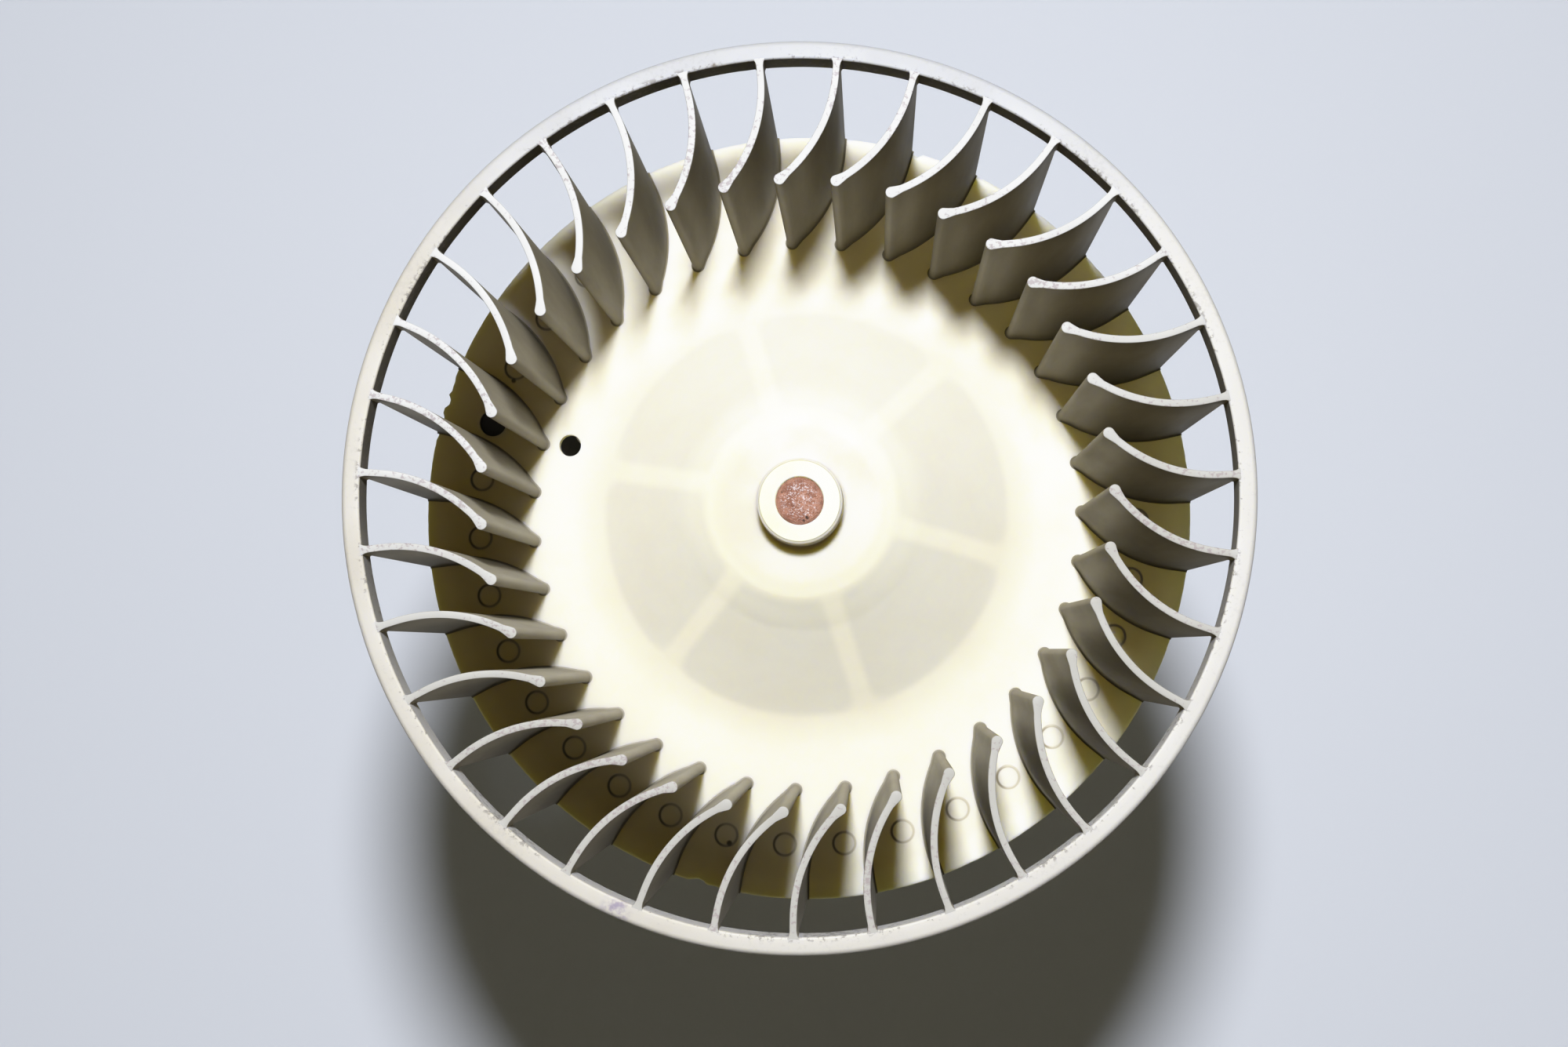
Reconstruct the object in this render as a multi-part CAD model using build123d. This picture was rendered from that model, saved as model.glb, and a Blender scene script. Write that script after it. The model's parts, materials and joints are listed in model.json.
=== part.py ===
import os
from math import cos, radians, sin

from build123d import *

# Heater blower fan: a moulded squirrel-cage wheel pressed on the shaft of its own motor.
# The wheel is one moulding. Its disc, blades and ring are apart here only to keep their
# collision shapes simple, and they meet face to face.
# Millimetres, +Z up along the shaft. The origin is on the shaft's axis, on the surface
# that the motor's end cap stands on. Angles run anticlockwise seen from above.

# Wheel: ring, disc and blades
ring_outer_r = 72.5
ring_wall = 2.7
ring_height = 5.6
ring_edge_chamfer = 0.7
wheel_depth = 55.0
disc_thick = 2.0
disc_edge_chamfer = 0.5
disc_past_blades = 0.3
blade_count = 35
blade_first_angle = 84.5
blade_thick = 1.1
blade_curve_r = 24.0
blade_straight = 2.7
blade_sweep = 46.2
blade_lip_r = 0.9

# Wheel: bell-shaped centre and hub
bell_foot_r = 39.0
bell_waist_r = 21.5
bell_waist_height = 18.8
bell_shoulder_r = 13.5
bell_height = 32.5
bell_foot_round = 9.0
bell_waist_round = 16.0
bell_shoulder_round = 4.0
hub_r = 7.2
hub_height = 36.5
hub_length = 18.0
hub_chamfer = 0.3

# Wheel: drain hole and balance pocket
drain_hole_r = 2.0
drain_hole_from_tips = 4.85
pocket_r = 2.45
pocket_depth = 1.3
pocket_from_rim = 9.6
pocket_angle = 163.6

# Spaces that set the stack's height, from the end cap up to the wheel
wheel_gap = 2.0
winding_head_room = 6.65
winding_foot_room = 2.7
flange_below_can_top = 23.0

# Motor shell
can_wall = 1.5
can_edge_round = 3.0
neck_wall = 1.5
vent_count = 6
vent_r = 3.2
window_count = 4
window_width = 12.0
window_height = 8.0
window_z = 26.0
window_first_angle = 45.0
end_plate_thick = 2.5
skirt_wall = 2.5
skirt_top_z = 20.0
boss_wall = 3.2

# Mounting flange with rubber grommets
flange_thick = 2.0
flange_brim = 7.0
flange_collar_height = 6.0
flange_collar_wall = 1.5
flange_ear_count = 3
flange_ear_angle = 157.0
flange_ear_r = 8.6
flange_ear_reach = 13.0
grommet_waist_r = 5.0
grommet_rim_r = 7.4
grommet_rim_thick = 2.5
grommet_edge_round = 0.8
sleeve_bore_r = 2.65
sleeve_wall = 0.9
sleeve_stand_out = 0.5

# Shaft, bearings and washers
shaft_r = 4.0
shaft_bottom_z = 5.2
shaft_below_hub_face = 0.3
shaft_chamfer = 0.7
bearing_r = 7.0
bearing_length = 8.0
bearing_edge_round = 1.6
bearing_running_gap = 0.04
felt_thick = 1.5
felt_inner_r = 4.6
retainer_thick = 0.6
retainer_inner_r = 5.0
thrust_pad_thick = 1.0
thrust_washer_thick = 1.0
thrust_washer_r = 6.4
spacer_r = 5.6

# Armature
core_r = 22.0
core_length = 40.0
slot_count = 12
slot_width = 4.2
tooth_tip = 2.0
slot_mouth = 1.8
insulator_thick = 1.0
winding_end_height = 7.0
winding_round_spacer = 2.4
winding_inside_slots = 4.0
winding_past_slots = 0.4
winding_edge_round = 2.0
commutator_r = 11.0
commutator_bar_depth = 2.2
commutator_bar_count = 12
commutator_foot = 1.5
commutator_slit = 0.7
riser_height = 2.0
riser_thick = 3.0

# Magnets and their clips
air_gap = 1.0
magnet_thick = 8.45
magnet_length = 46.0
magnet_span = 130.0
clip_thick = 0.8
clip_length = 30.0
clip_in_from_wall = 1.2
clip_gap_angle = 0.25

# Brush gear
plate_thick = 2.0
plate_past_riser = 1.5
brush_width = 5.0
brush_height = 8.0
brush_length = 9.5
brush_air = 0.3
brush_slide_gap = 0.15
holder_wall = 0.7
holder_past_riser = 0.5
holder_from_shell = 3.25
spring_wire_r = 0.3
spring_coil_r = 1.9
spring_pitch = 1.45
choke_rod_r = 2.0
choke_rod_length = 17.0
choke_coil_r = 3.2
choke_coil_length = 12.0
choke_from_shell = 10.5

# Connector on the end cap's tongue
tongue_length = 13.0
socket_width = 20.0
socket_height = 15.0
socket_wall = 2.0
socket_floor = 3.0
terminal_width = 6.3
terminal_thick = 0.8
terminal_spread = 7.0
terminal_z = 10.0
terminal_inside = 7.0
terminal_outside = 10.0
block_inside = 5.0

# End cap screws
screw_count = 3
screw_first_angle = 60.0
screw_z = 10.5
screw_r = 1.5
screw_length = 5.0
screw_head_r = 3.0
screw_head_height = 1.8
screw_slot_width = 0.8
screw_slot_depth = 0.9

# Clearances between pieces
seat_gap = 0.05
press_gap = 0.02
working_gap = 0.3

# Places worked out from the sizes above, from the bottom up
magnet_inner_r = core_r + air_gap
magnet_outer_r = magnet_inner_r + magnet_thick
can_inner_r = magnet_outer_r + seat_gap
can_r = can_inner_r + can_wall
seat_r = bearing_r + seat_gap
neck_r = seat_r + neck_wall
vent_at_r = (neck_r + can_inner_r) / 2
flange_r = can_r + flange_brim
flange_pitch_r = can_r + flange_ear_reach
winding_inner_r = spacer_r + winding_round_spacer
slot_floor_r = winding_inner_r + winding_inside_slots
slot_roof_r = core_r - tooth_tip
winding_outer_r = slot_roof_r + winding_past_slots
riser_r = commutator_r + riser_height
plate_hole_r = riser_r + plate_past_riser
tongue_reach = can_r + tongue_length
terminal_inner_x = can_r - terminal_inside
terminal_outer_x = can_r + terminal_outside
block_inner_x = can_r - block_inside
choke_at_x = can_inner_r - choke_from_shell
pad_z = shaft_bottom_z - thrust_pad_thick - press_gap
lower_bearing_z = shaft_bottom_z
lower_felt_z = lower_bearing_z + bearing_length
lower_retainer_z = lower_felt_z + felt_thick
boss_top_z = lower_retainer_z + retainer_thick
lower_washer_z = boss_top_z + working_gap
commutator_bottom_z = lower_washer_z + thrust_washer_thick
skirt_r = can_inner_r - seat_gap
plate_top_z = skirt_top_z + plate_thick
brush_z = plate_top_z + holder_wall + brush_slide_gap + brush_height / 2
brush_start_r = commutator_r + brush_air
brush_end_r = brush_start_r + brush_length
holder_start_r = riser_r + holder_past_riser
holder_end_r = can_inner_r - holder_from_shell
spring_end_r = holder_end_r - holder_wall - brush_slide_gap
spring_length = spring_end_r - brush_end_r
bar_bottom_z = commutator_bottom_z + commutator_foot
riser_z = brush_z + brush_height / 2 + brush_air
bar_top_z = riser_z + riser_thick
winding_z = bar_top_z + winding_foot_room
core_bottom_z = winding_z + winding_end_height + insulator_thick
core_top_z = core_bottom_z + core_length
insulator_top_z = core_top_z + insulator_thick
can_inner_top_z = insulator_top_z + winding_end_height + winding_head_room
can_top_z = can_inner_top_z + can_wall
upper_retainer_z = can_inner_top_z + retainer_thick
upper_felt_z = upper_retainer_z + retainer_thick
upper_bearing_z = upper_felt_z + felt_thick
neck_top_z = upper_bearing_z + bearing_length + neck_wall
upper_washer_z = upper_retainer_z - working_gap - thrust_washer_thick
shaft_hole_r = shaft_r + working_gap
magnet_bottom_z = core_bottom_z + (core_length - magnet_length) / 2
flange_z = can_top_z - flange_below_can_top
wheel_disc_z = can_top_z + wheel_gap + disc_thick
ring_top_z = wheel_disc_z + wheel_depth
ring_inner_r = ring_outer_r - ring_wall
disc_r = ring_inner_r + disc_past_blades
pocket_at_r = disc_r - pocket_from_rim
hub_top_z = wheel_disc_z + hub_height
hub_bottom_z = hub_top_z - hub_length
shaft_top_z = hub_top_z - shaft_below_hub_face


def tube(outer_r, inner_r, bottom_z, height):
    """A straight tube standing on bottom_z."""
    ring = Circle(outer_r) - Circle(inner_r)
    return Pos(0, 0, bottom_z) * extrude(ring, height)


def rod(radius, bottom_z, height):
    """A straight rod standing on bottom_z."""
    return Pos(0, 0, bottom_z) * extrude(Circle(radius), height)


def box(x_range, y_range, z_range):
    """A box between two limits along each axis."""
    spans = [high - low for low, high in (x_range, y_range, z_range)]
    middle = [(low + high) / 2 for low, high in (x_range, y_range, z_range)]
    return Pos(*middle) * Box(*spans)


def turned(face):
    """A solid turned about the shaft's axis from a face drawn with X as radius, Y as height."""
    return revolve(Plane.XZ * face, Axis.Z)


def polar(radius, angle):
    """A place at a radius and an angle about the shaft."""
    return radius * cos(radians(angle)), radius * sin(radians(angle))


def all_round(shape, count, first_angle=0.0):
    """Copies of a shape, evenly spaced about the shaft."""
    return [Rot(0, 0, first_angle + 360 / count * i) * shape for i in range(count)]


def joined(shapes):
    """Several shapes fused into one."""
    first, *others = shapes
    return first.fuse(*others)


def bell_corners(depth):
    """The corners of the line from hub to rim, at a depth below the wheel's upper face."""
    points = [
        Vector(0.0, bell_height),
        Vector(bell_shoulder_r, bell_height),
        Vector(bell_waist_r, bell_waist_height),
        Vector(bell_foot_r, 0.0),
        Vector(disc_r, 0.0),
    ]
    along = [(b - a).normalized() for a, b in zip(points, points[1:])]
    down = [Vector(d.Y, -d.X) for d in along]
    moved = [points[0] + down[0] * depth]
    for point, one, two in zip(points[1:], down, down[1:]):
        moved.append(point + (one + two) * (depth / (1 + one.dot(two))))
    return moved + [points[-1] + down[-1] * depth]


def bell_section():
    """Half the section of bell and disc, rounded on top and plain below."""
    upper = FilletPolyline(*bell_corners(0.0), radius=[bell_shoulder_round, bell_waist_round, bell_foot_round])
    lower = Polyline(*bell_corners(disc_thick))
    ends = [Line(upper @ 0, lower @ 0), Line(upper @ 1, lower @ 1)]
    return make_face(upper.edges() + lower.edges() + ends)


def blade_line():
    """The middle line of the blade at angle 0, from inside the ring to the lip."""
    turn_at = (ring_inner_r - blade_straight, 0)
    return Line((ring_outer_r, 0), turn_at) + JernArc(turn_at, (-1, 0), blade_curve_r, -blade_sweep)


def make_blades():
    """All the blades, from the disc's top to the ring, each with a thicker lip at its inner end."""
    path = blade_line()
    lip = path @ 1
    section = trace(path, blade_thick) + Pos(lip.X, lip.Y) * Circle(blade_lip_r)
    blade = Pos(0, 0, wheel_disc_z) * extrude(section & Circle(ring_inner_r), wheel_depth)
    return Compound(children=all_round(blade, blade_count, blade_first_angle))


def make_ring():
    """The inlet ring round the blades' outer ends."""
    ring = tube(ring_outer_r, ring_inner_r, ring_top_z - ring_height, ring_height)
    top_edges = ring.edges().group_by(Axis.Z)[-1].sort_by(lambda e: e.radius)
    return chamfer(top_edges[-1], ring_edge_chamfer)


def make_disc():
    """Bell-shaped disc with its hub, drain hole and balance pocket."""
    disc = Pos(0, 0, wheel_disc_z) * turned(bell_section())
    rim_edges = disc.edges().filter_by(GeomType.CIRCLE).sort_by(lambda e: e.radius)[-2:]
    disc = chamfer(rim_edges.sort_by(Axis.Z)[0], disc_edge_chamfer)
    hub = rod(hub_r, hub_bottom_z, hub_length)
    disc += chamfer(hub.edges().group_by(Axis.Z)[-1], hub_chamfer)
    disc -= rod(shaft_r + press_gap, hub_bottom_z - 1, hub_length + 2)
    blade_tip = blade_line() @ 1
    hole_x, hole_y = polar(blade_tip.length - drain_hole_from_tips, pocket_angle)
    disc -= Pos(hole_x, hole_y, 0) * rod(drain_hole_r, wheel_disc_z - 2 * disc_thick, 3 * disc_thick)
    pocket_x, pocket_y = polar(pocket_at_r, pocket_angle)
    return disc - Pos(pocket_x, pocket_y, 0) * rod(pocket_r, wheel_disc_z - pocket_depth, 2 * pocket_depth)


def make_shaft():
    shaft = rod(shaft_r, shaft_bottom_z, shaft_top_z - shaft_bottom_z)
    ends = shaft.edges().group_by(Axis.Z)
    return chamfer(ends[0] + ends[-1], shaft_chamfer)


def slotted_face(slot, mouth):
    """A round lamination face with its winding slots."""
    face = Circle(core_r) - Circle(shaft_r + press_gap)
    middle_r = (slot_floor_r + slot_roof_r) / 2
    pocket = Pos(middle_r, 0) * Rectangle(slot_roof_r - slot_floor_r, slot)
    opening = Pos((slot_roof_r + core_r + 1) / 2, 0) * Rectangle(core_r + 2 - slot_roof_r, mouth)
    for cut in all_round(pocket + opening, slot_count):
        face -= cut
    return face


def make_core():
    return Pos(0, 0, core_bottom_z) * extrude(slotted_face(slot_width, slot_mouth), core_length)


def make_insulator(bottom_z):
    return Pos(0, 0, bottom_z) * extrude(slotted_face(slot_width, slot_mouth), insulator_thick)


def make_winding():
    """Copper in the slots and the end turns above and below the core."""
    bars = all_round(
        box(
            (slot_floor_r + seat_gap, slot_roof_r - seat_gap),
            (seat_gap - slot_width / 2, slot_width / 2 - seat_gap),
            (winding_z + winding_end_height / 2, insulator_top_z + winding_end_height / 2),
        ),
        slot_count,
    )
    turns = []
    for bottom_z, far_end in ((winding_z, 0), (insulator_top_z, -1)):
        ring = tube(winding_outer_r, winding_inner_r, bottom_z, winding_end_height)
        turns.append(fillet(ring.edges().group_by(Axis.Z)[far_end], winding_edge_round))
    return joined(turns + bars)


def make_commutator_core():
    height = bar_top_z - commutator_bottom_z
    inner = commutator_r - commutator_bar_depth - seat_gap
    return tube(inner, shaft_r + press_gap, commutator_bottom_z, height)


def make_commutator_bars():
    """Copper bars round the moulded core, each with its riser."""
    inner = commutator_r - commutator_bar_depth
    bars = tube(commutator_r, inner, bar_bottom_z, bar_top_z - bar_bottom_z)
    bars += tube(riser_r, inner, riser_z, riser_thick)
    slit = box((0, 2 * riser_r), (-commutator_slit / 2, commutator_slit / 2), (0, core_bottom_z))
    for cut in all_round(slit, commutator_bar_count):
        bars -= cut
    return bars


def make_can():
    """Drawn steel shell with its bearing neck, vents and windows."""
    outer = rod(can_r, end_plate_thick, can_top_z - end_plate_thick)
    outer = fillet(outer.edges().group_by(Axis.Z)[-1], can_edge_round)
    outer += rod(neck_r, can_top_z - can_wall, neck_top_z - can_top_z + can_wall)
    hollow = rod(can_inner_r, end_plate_thick, can_inner_top_z - end_plate_thick)
    hollow = fillet(hollow.edges().group_by(Axis.Z)[-1], can_edge_round - can_wall)
    shell = outer - hollow - rod(seat_r, can_inner_top_z - 1, neck_top_z - neck_wall - can_inner_top_z + 1)
    shell -= rod(shaft_hole_r, can_top_z, neck_top_z - can_top_z + 1)
    vent = Pos(vent_at_r, 0) * rod(vent_r, can_top_z - 2 * can_wall, 3 * can_wall)
    for cut in all_round(vent, vent_count):
        shell -= cut
    window = box(
        (can_inner_r - can_wall, can_r + can_wall),
        (-window_width / 2, window_width / 2),
        (window_z, window_z + window_height),
    )
    for cut in all_round(window, window_count, window_first_angle):
        shell -= cut
    for cut in screw_holes(screw_r + seat_gap, can_r + can_wall):
        shell -= cut
    return shell - connector_passage(seat_gap)


def screw_holes(radius, outer_r):
    """Radial holes for the end cap's screws, running inwards from outer_r."""
    start = can_r - screw_length - seat_gap
    hole = Pos(start, 0, screw_z) * Rot(0, 90, 0) * extrude(Circle(radius), outer_r - start)
    return all_round(hole, screw_count, screw_first_angle)


def connector_passage(gap):
    """The space that the connector's block takes through shell and skirt."""
    half = socket_width / 2 - socket_wall + gap
    low = end_plate_thick + socket_wall - gap
    high = end_plate_thick + socket_height - socket_wall + gap
    return box((block_inner_x - 1, can_r + can_wall), (-half, half), (low, high))


def make_end_cap():
    """Flat end plate with a skirt, a bearing boss and a tongue for the connector."""
    cap = rod(can_r, 0, end_plate_thick)
    cap += tube(skirt_r, skirt_r - skirt_wall, end_plate_thick, skirt_top_z - end_plate_thick)
    cap += rod(seat_r + boss_wall, end_plate_thick, boss_top_z - end_plate_thick)
    cap += box((0, tongue_reach), (-socket_width / 2, socket_width / 2), (0, end_plate_thick))
    cap -= rod(seat_r, lower_bearing_z, boss_top_z)
    cap -= rod(shaft_r + working_gap, pad_z - press_gap, lower_bearing_z)
    for cut in screw_holes(screw_r + press_gap, can_inner_r):
        cap -= cut
    return cap - connector_passage(seat_gap)


def make_flange():
    """Three-eared plate with a collar that grips the can."""
    ear = Pos(flange_pitch_r, 0) * Circle(flange_ear_r)
    ear += Pos(flange_pitch_r / 2, 0) * Rectangle(flange_pitch_r, 2 * flange_ear_r)
    hole = Pos(flange_pitch_r, 0) * Circle(grommet_waist_r + seat_gap)
    face = Circle(flange_r)
    for one in all_round(ear, flange_ear_count, flange_ear_angle):
        face += one
    for cut in all_round(hole, flange_ear_count, flange_ear_angle):
        face -= cut
    plate = Pos(0, 0, flange_z) * extrude(face, flange_thick)
    collar_r = can_r + seat_gap + flange_collar_wall
    plate += rod(collar_r, flange_z, flange_thick + flange_collar_height)
    return plate - rod(can_r + seat_gap, flange_z - 1, flange_thick + flange_collar_height + 2)


def make_grommet(angle):
    """Rubber grommet that sits in one ear of the flange."""
    bottom_z = flange_z - seat_gap - grommet_rim_thick
    height = flange_thick + 2 * (seat_gap + grommet_rim_thick)
    body = rod(grommet_rim_r, bottom_z, height)
    body = fillet(body.edges().filter_by(GeomType.CIRCLE), grommet_edge_round)
    body -= tube(2 * grommet_rim_r, grommet_waist_r, flange_z - seat_gap, flange_thick + 2 * seat_gap)
    body -= rod(sleeve_bore_r + sleeve_wall + seat_gap, bottom_z - 1, height + 2)
    return Rot(0, 0, angle) * Pos(flange_pitch_r, 0) * body


def make_sleeve(angle):
    """Steel sleeve that the mounting screw passes through."""
    bottom_z = flange_z - seat_gap - grommet_rim_thick - sleeve_stand_out
    height = flange_thick + 2 * (seat_gap + grommet_rim_thick + sleeve_stand_out)
    body = tube(sleeve_bore_r + sleeve_wall, sleeve_bore_r, bottom_z, height)
    return Rot(0, 0, angle) * Pos(flange_pitch_r, 0) * body


def make_bearing(bottom_z):
    """Sintered bush with a barrel-shaped outside."""
    body = rod(bearing_r, bottom_z, bearing_length)
    body = fillet(body.edges().filter_by(GeomType.CIRCLE), bearing_edge_round)
    return body - rod(shaft_r + bearing_running_gap, bottom_z - 1, bearing_length + 2)


def make_felt(bottom_z):
    return tube(bearing_r, felt_inner_r, bottom_z, felt_thick)


def make_retainer(bottom_z):
    return tube(bearing_r, retainer_inner_r, bottom_z, retainer_thick)


def make_thrust_washer(bottom_z):
    return tube(thrust_washer_r, shaft_r + press_gap, bottom_z, thrust_washer_thick)


def arc_bar(inner_r, outer_r, angle, span, bottom_z, height):
    """A bar that follows an arc about the shaft."""
    half = radians(span / 2)
    far = 2 * outer_r
    wedge = make_face(Polyline((0, 0), (far * cos(half), -far * sin(half)), (far, 0),
                               (far * cos(half), far * sin(half)), (0, 0)))
    face = (Circle(outer_r) - Circle(inner_r)) & wedge
    return Rot(0, 0, angle) * Pos(0, 0, bottom_z) * extrude(face, height)


def make_magnet(angle):
    return arc_bar(magnet_inner_r, magnet_outer_r, angle, magnet_span, magnet_bottom_z, magnet_length)


def make_magnet_clip(angle):
    """Sprung strip between the magnets' edges."""
    outer = can_inner_r - clip_in_from_wall
    span = 180 - magnet_span - 2 * clip_gap_angle
    return arc_bar(outer - clip_thick, outer, angle, span, core_bottom_z, clip_length)


def make_brush_plate():
    return tube(can_inner_r - working_gap, plate_hole_r, skirt_top_z, plate_thick)


def on_side(shape, side):
    """A shape drawn towards +Y, or turned towards -Y."""
    return shape if side > 0 else Rot(0, 0, 180) * shape


def make_holder(side):
    """Brass box that guides one brush, closed at its outer end."""
    half_x = brush_width / 2 + brush_slide_gap
    half_z = brush_height / 2 + brush_slide_gap
    back = holder_end_r - holder_wall
    outer = box(
        (-half_x - holder_wall, half_x + holder_wall),
        (holder_start_r, holder_end_r),
        (brush_z - half_z - holder_wall, brush_z + half_z + holder_wall),
    )
    inner = box((-half_x, half_x), (holder_start_r - 1, back), (brush_z - half_z, brush_z + half_z))
    return on_side(outer - inner, side)


def make_brush(side):
    half_x, half_z = brush_width / 2, brush_height / 2
    block = box((-half_x, half_x), (brush_start_r, brush_end_r), (brush_z - half_z, brush_z + half_z))
    return on_side(block, side)


def make_brush_spring(side):
    """Coil spring that pushes one brush on the commutator."""
    length = spring_length - 2 * spring_wire_r - 2 * seat_gap
    coil = Helix(pitch=spring_pitch, height=length, radius=spring_coil_r)
    start = Plane(origin=coil @ 0, z_dir=coil % 0)
    wire = sweep(start * Circle(spring_wire_r), path=coil, is_frenet=True)
    placed = Pos(0, brush_end_r + spring_wire_r + seat_gap, brush_z) * Rot(-90, 0, 0) * wire
    return on_side(placed, side)


def choke_place(side):
    return Pos(side * choke_at_x, 0, plate_top_z + choke_coil_r + seat_gap) * Rot(90, 0, 0)


def make_choke_rod(side):
    return choke_place(side) * Cylinder(choke_rod_r, choke_rod_length)


def make_choke_coil(side):
    ring = Circle(choke_coil_r) - Circle(choke_rod_r + seat_gap)
    return choke_place(side) * extrude(ring, choke_coil_length / 2, both=True)


def terminal_box(side, gap):
    middle_y = side * terminal_spread / 2
    half_y, half_z = terminal_thick / 2 + gap, terminal_width / 2 + gap
    return box(
        (terminal_inner_x, terminal_outer_x),
        (middle_y - half_y, middle_y + half_y),
        (terminal_z - half_z, terminal_z + half_z),
    )


def make_terminal(side):
    return terminal_box(side, 0.0)


def make_connector():
    """Socket moulding on the end cap's tongue, with a block through the shell."""
    low, high = end_plate_thick, end_plate_thick + socket_height
    half = socket_width / 2
    start_x = can_r + working_gap
    shell = box((start_x, tongue_reach), (-half, half), (low + seat_gap, high))
    shell -= box(
        (start_x + socket_floor, tongue_reach + 1),
        (socket_wall - half, half - socket_wall),
        (low + socket_wall, high - socket_wall),
    )
    shell += connector_passage(0.0) & box((block_inner_x, start_x), (-half, half), (low, high))
    return shell - terminal_box(-1, press_gap) - terminal_box(1, press_gap)


def make_screws():
    """Slotted screws that hold the end cap in the can."""
    shank = Pos(can_r - screw_length) * Rot(0, 90, 0) * extrude(Circle(screw_r), screw_length + seat_gap)
    head = Pos(can_r + seat_gap) * Rot(0, 90, 0) * extrude(Circle(screw_head_r), screw_head_height)
    head_top_x = can_r + seat_gap + screw_head_height
    head -= box((head_top_x - screw_slot_depth, head_top_x + 1), (-screw_head_r, screw_head_r),
                (-screw_slot_width / 2, screw_slot_width / 2))
    screw = Pos(0, 0, screw_z) * (shank + head)
    return Compound(children=all_round(screw, screw_count, screw_first_angle))


solids = {
    "wheel_disc": make_disc(),
    "wheel_blades": make_blades(),
    "wheel_ring": make_ring(),
    "motor_shaft": make_shaft(),
    "armature_core": make_core(),
    "armature_winding": make_winding(),
    "upper_end_insulator": make_insulator(core_top_z),
    "lower_end_insulator": make_insulator(core_bottom_z - insulator_thick),
    "shaft_spacer": tube(spacer_r, shaft_r + press_gap, insulator_top_z, upper_washer_z - insulator_top_z),
    "commutator_core": make_commutator_core(),
    "commutator_bars": make_commutator_bars(),
    "upper_thrust_washer": make_thrust_washer(upper_washer_z),
    "lower_thrust_washer": make_thrust_washer(lower_washer_z),
    "motor_can": make_can(),
    "end_cap": make_end_cap(),
    "end_cap_screws": make_screws(),
    "mounting_flange": make_flange(),
    "upper_bearing": make_bearing(upper_bearing_z),
    "lower_bearing": make_bearing(lower_bearing_z),
    "upper_felt_washer": make_felt(upper_felt_z),
    "lower_felt_washer": make_felt(lower_felt_z),
    "upper_bearing_retainer": make_retainer(upper_retainer_z),
    "lower_bearing_retainer": make_retainer(lower_retainer_z),
    "thrust_pad": rod(shaft_r, pad_z, thrust_pad_thick),
    "brush_plate": make_brush_plate(),
    "connector_housing": make_connector(),
}
for number in range(1, flange_ear_count + 1):
    angle = flange_ear_angle + 360 / flange_ear_count * (number - 1)
    solids[f"flange_grommet_{number}"] = make_grommet(angle)
    solids[f"grommet_sleeve_{number}"] = make_sleeve(angle)
for name, side in (("left", -1), ("right", 1)):
    solids[f"{name}_magnet"] = make_magnet(90 - 90 * side)
    solids[f"{name}_magnet_clip"] = make_magnet_clip(90 * side)
    solids[f"{name}_brush_holder"] = make_holder(side)
    solids[f"{name}_brush"] = make_brush(side)
    solids[f"{name}_brush_spring"] = make_brush_spring(side)
    solids[f"{name}_choke_rod"] = make_choke_rod(side)
    solids[f"{name}_choke_coil"] = make_choke_coil(side)
    solids[f"{name}_terminal"] = make_terminal(side)

os.makedirs("parts", exist_ok=True)
for name, solid in solids.items():
    export_step(solid, f"parts/{name}.step")
    print(name)
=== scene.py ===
import json
import math

import bmesh
import bpy
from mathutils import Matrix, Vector, noise


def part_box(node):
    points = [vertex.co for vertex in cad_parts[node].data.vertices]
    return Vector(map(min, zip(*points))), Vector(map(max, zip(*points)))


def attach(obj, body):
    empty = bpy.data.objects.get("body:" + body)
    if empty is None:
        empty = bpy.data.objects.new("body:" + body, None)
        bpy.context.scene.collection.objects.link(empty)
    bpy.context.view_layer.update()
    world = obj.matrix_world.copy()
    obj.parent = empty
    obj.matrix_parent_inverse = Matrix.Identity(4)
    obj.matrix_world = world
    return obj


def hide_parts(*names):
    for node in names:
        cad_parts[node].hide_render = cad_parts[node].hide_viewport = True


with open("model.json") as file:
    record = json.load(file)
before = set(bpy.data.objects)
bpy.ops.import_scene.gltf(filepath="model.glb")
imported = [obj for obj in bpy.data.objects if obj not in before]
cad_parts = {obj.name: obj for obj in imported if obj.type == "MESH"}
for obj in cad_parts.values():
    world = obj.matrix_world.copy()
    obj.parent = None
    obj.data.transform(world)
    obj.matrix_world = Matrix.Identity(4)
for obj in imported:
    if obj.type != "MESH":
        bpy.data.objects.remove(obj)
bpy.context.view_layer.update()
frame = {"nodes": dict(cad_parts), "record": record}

mm = 0.001  # metres in a millimetre

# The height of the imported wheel's ring, in metres
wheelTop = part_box("wheel_ring")[1][2]


# Shared mesh tools

# A flat vector turned by an angle in radians
def turned(flat, angle):
    c, s = math.cos(angle), math.sin(angle)
    return Vector((flat.x * c - flat.y * s, flat.x * s + flat.y * c))


# A place at a distance and an angle in degrees round the axis, and at a height
def roundAxis(distance, degrees, height):
    angle = math.radians(degrees)
    return distance * math.cos(angle), distance * math.sin(angle), height


# Points along a run of straight lines whose inner corners are rounded
def roundedLine(corners, radii, steps):
    points = [Vector(corners[0])]
    for before, corner, after, radius in zip(corners, corners[1:], corners[2:], radii):
        here = Vector(corner)
        back = (Vector(before) - here).normalized()
        on = (Vector(after) - here).normalized()
        half = back.angle(on) / 2
        if radius <= 0 or half > math.radians(89.9):  # a sharp corner, or none at all
            points.append(here)
            continue
        reach = radius / math.tan(half)
        middle = here + (back + on).normalized() * (radius / math.sin(half))
        start, end = here + back * reach - middle, here + on * reach - middle
        turn = start.angle_signed(end)
        points += [middle + turned(start, -turn * step / steps) for step in range(steps + 1)]
    points.append(Vector(corners[-1]))
    return points


# The same line with extra points, so that no stretch is longer than asked
def spread(points, longest):
    result = [points[0]]
    for a, b in zip(points, points[1:]):
        count = max(1, math.ceil((b - a).length / longest))
        result += [a.lerp(b, (i + 1) / count) for i in range(count)]
    return result


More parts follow.
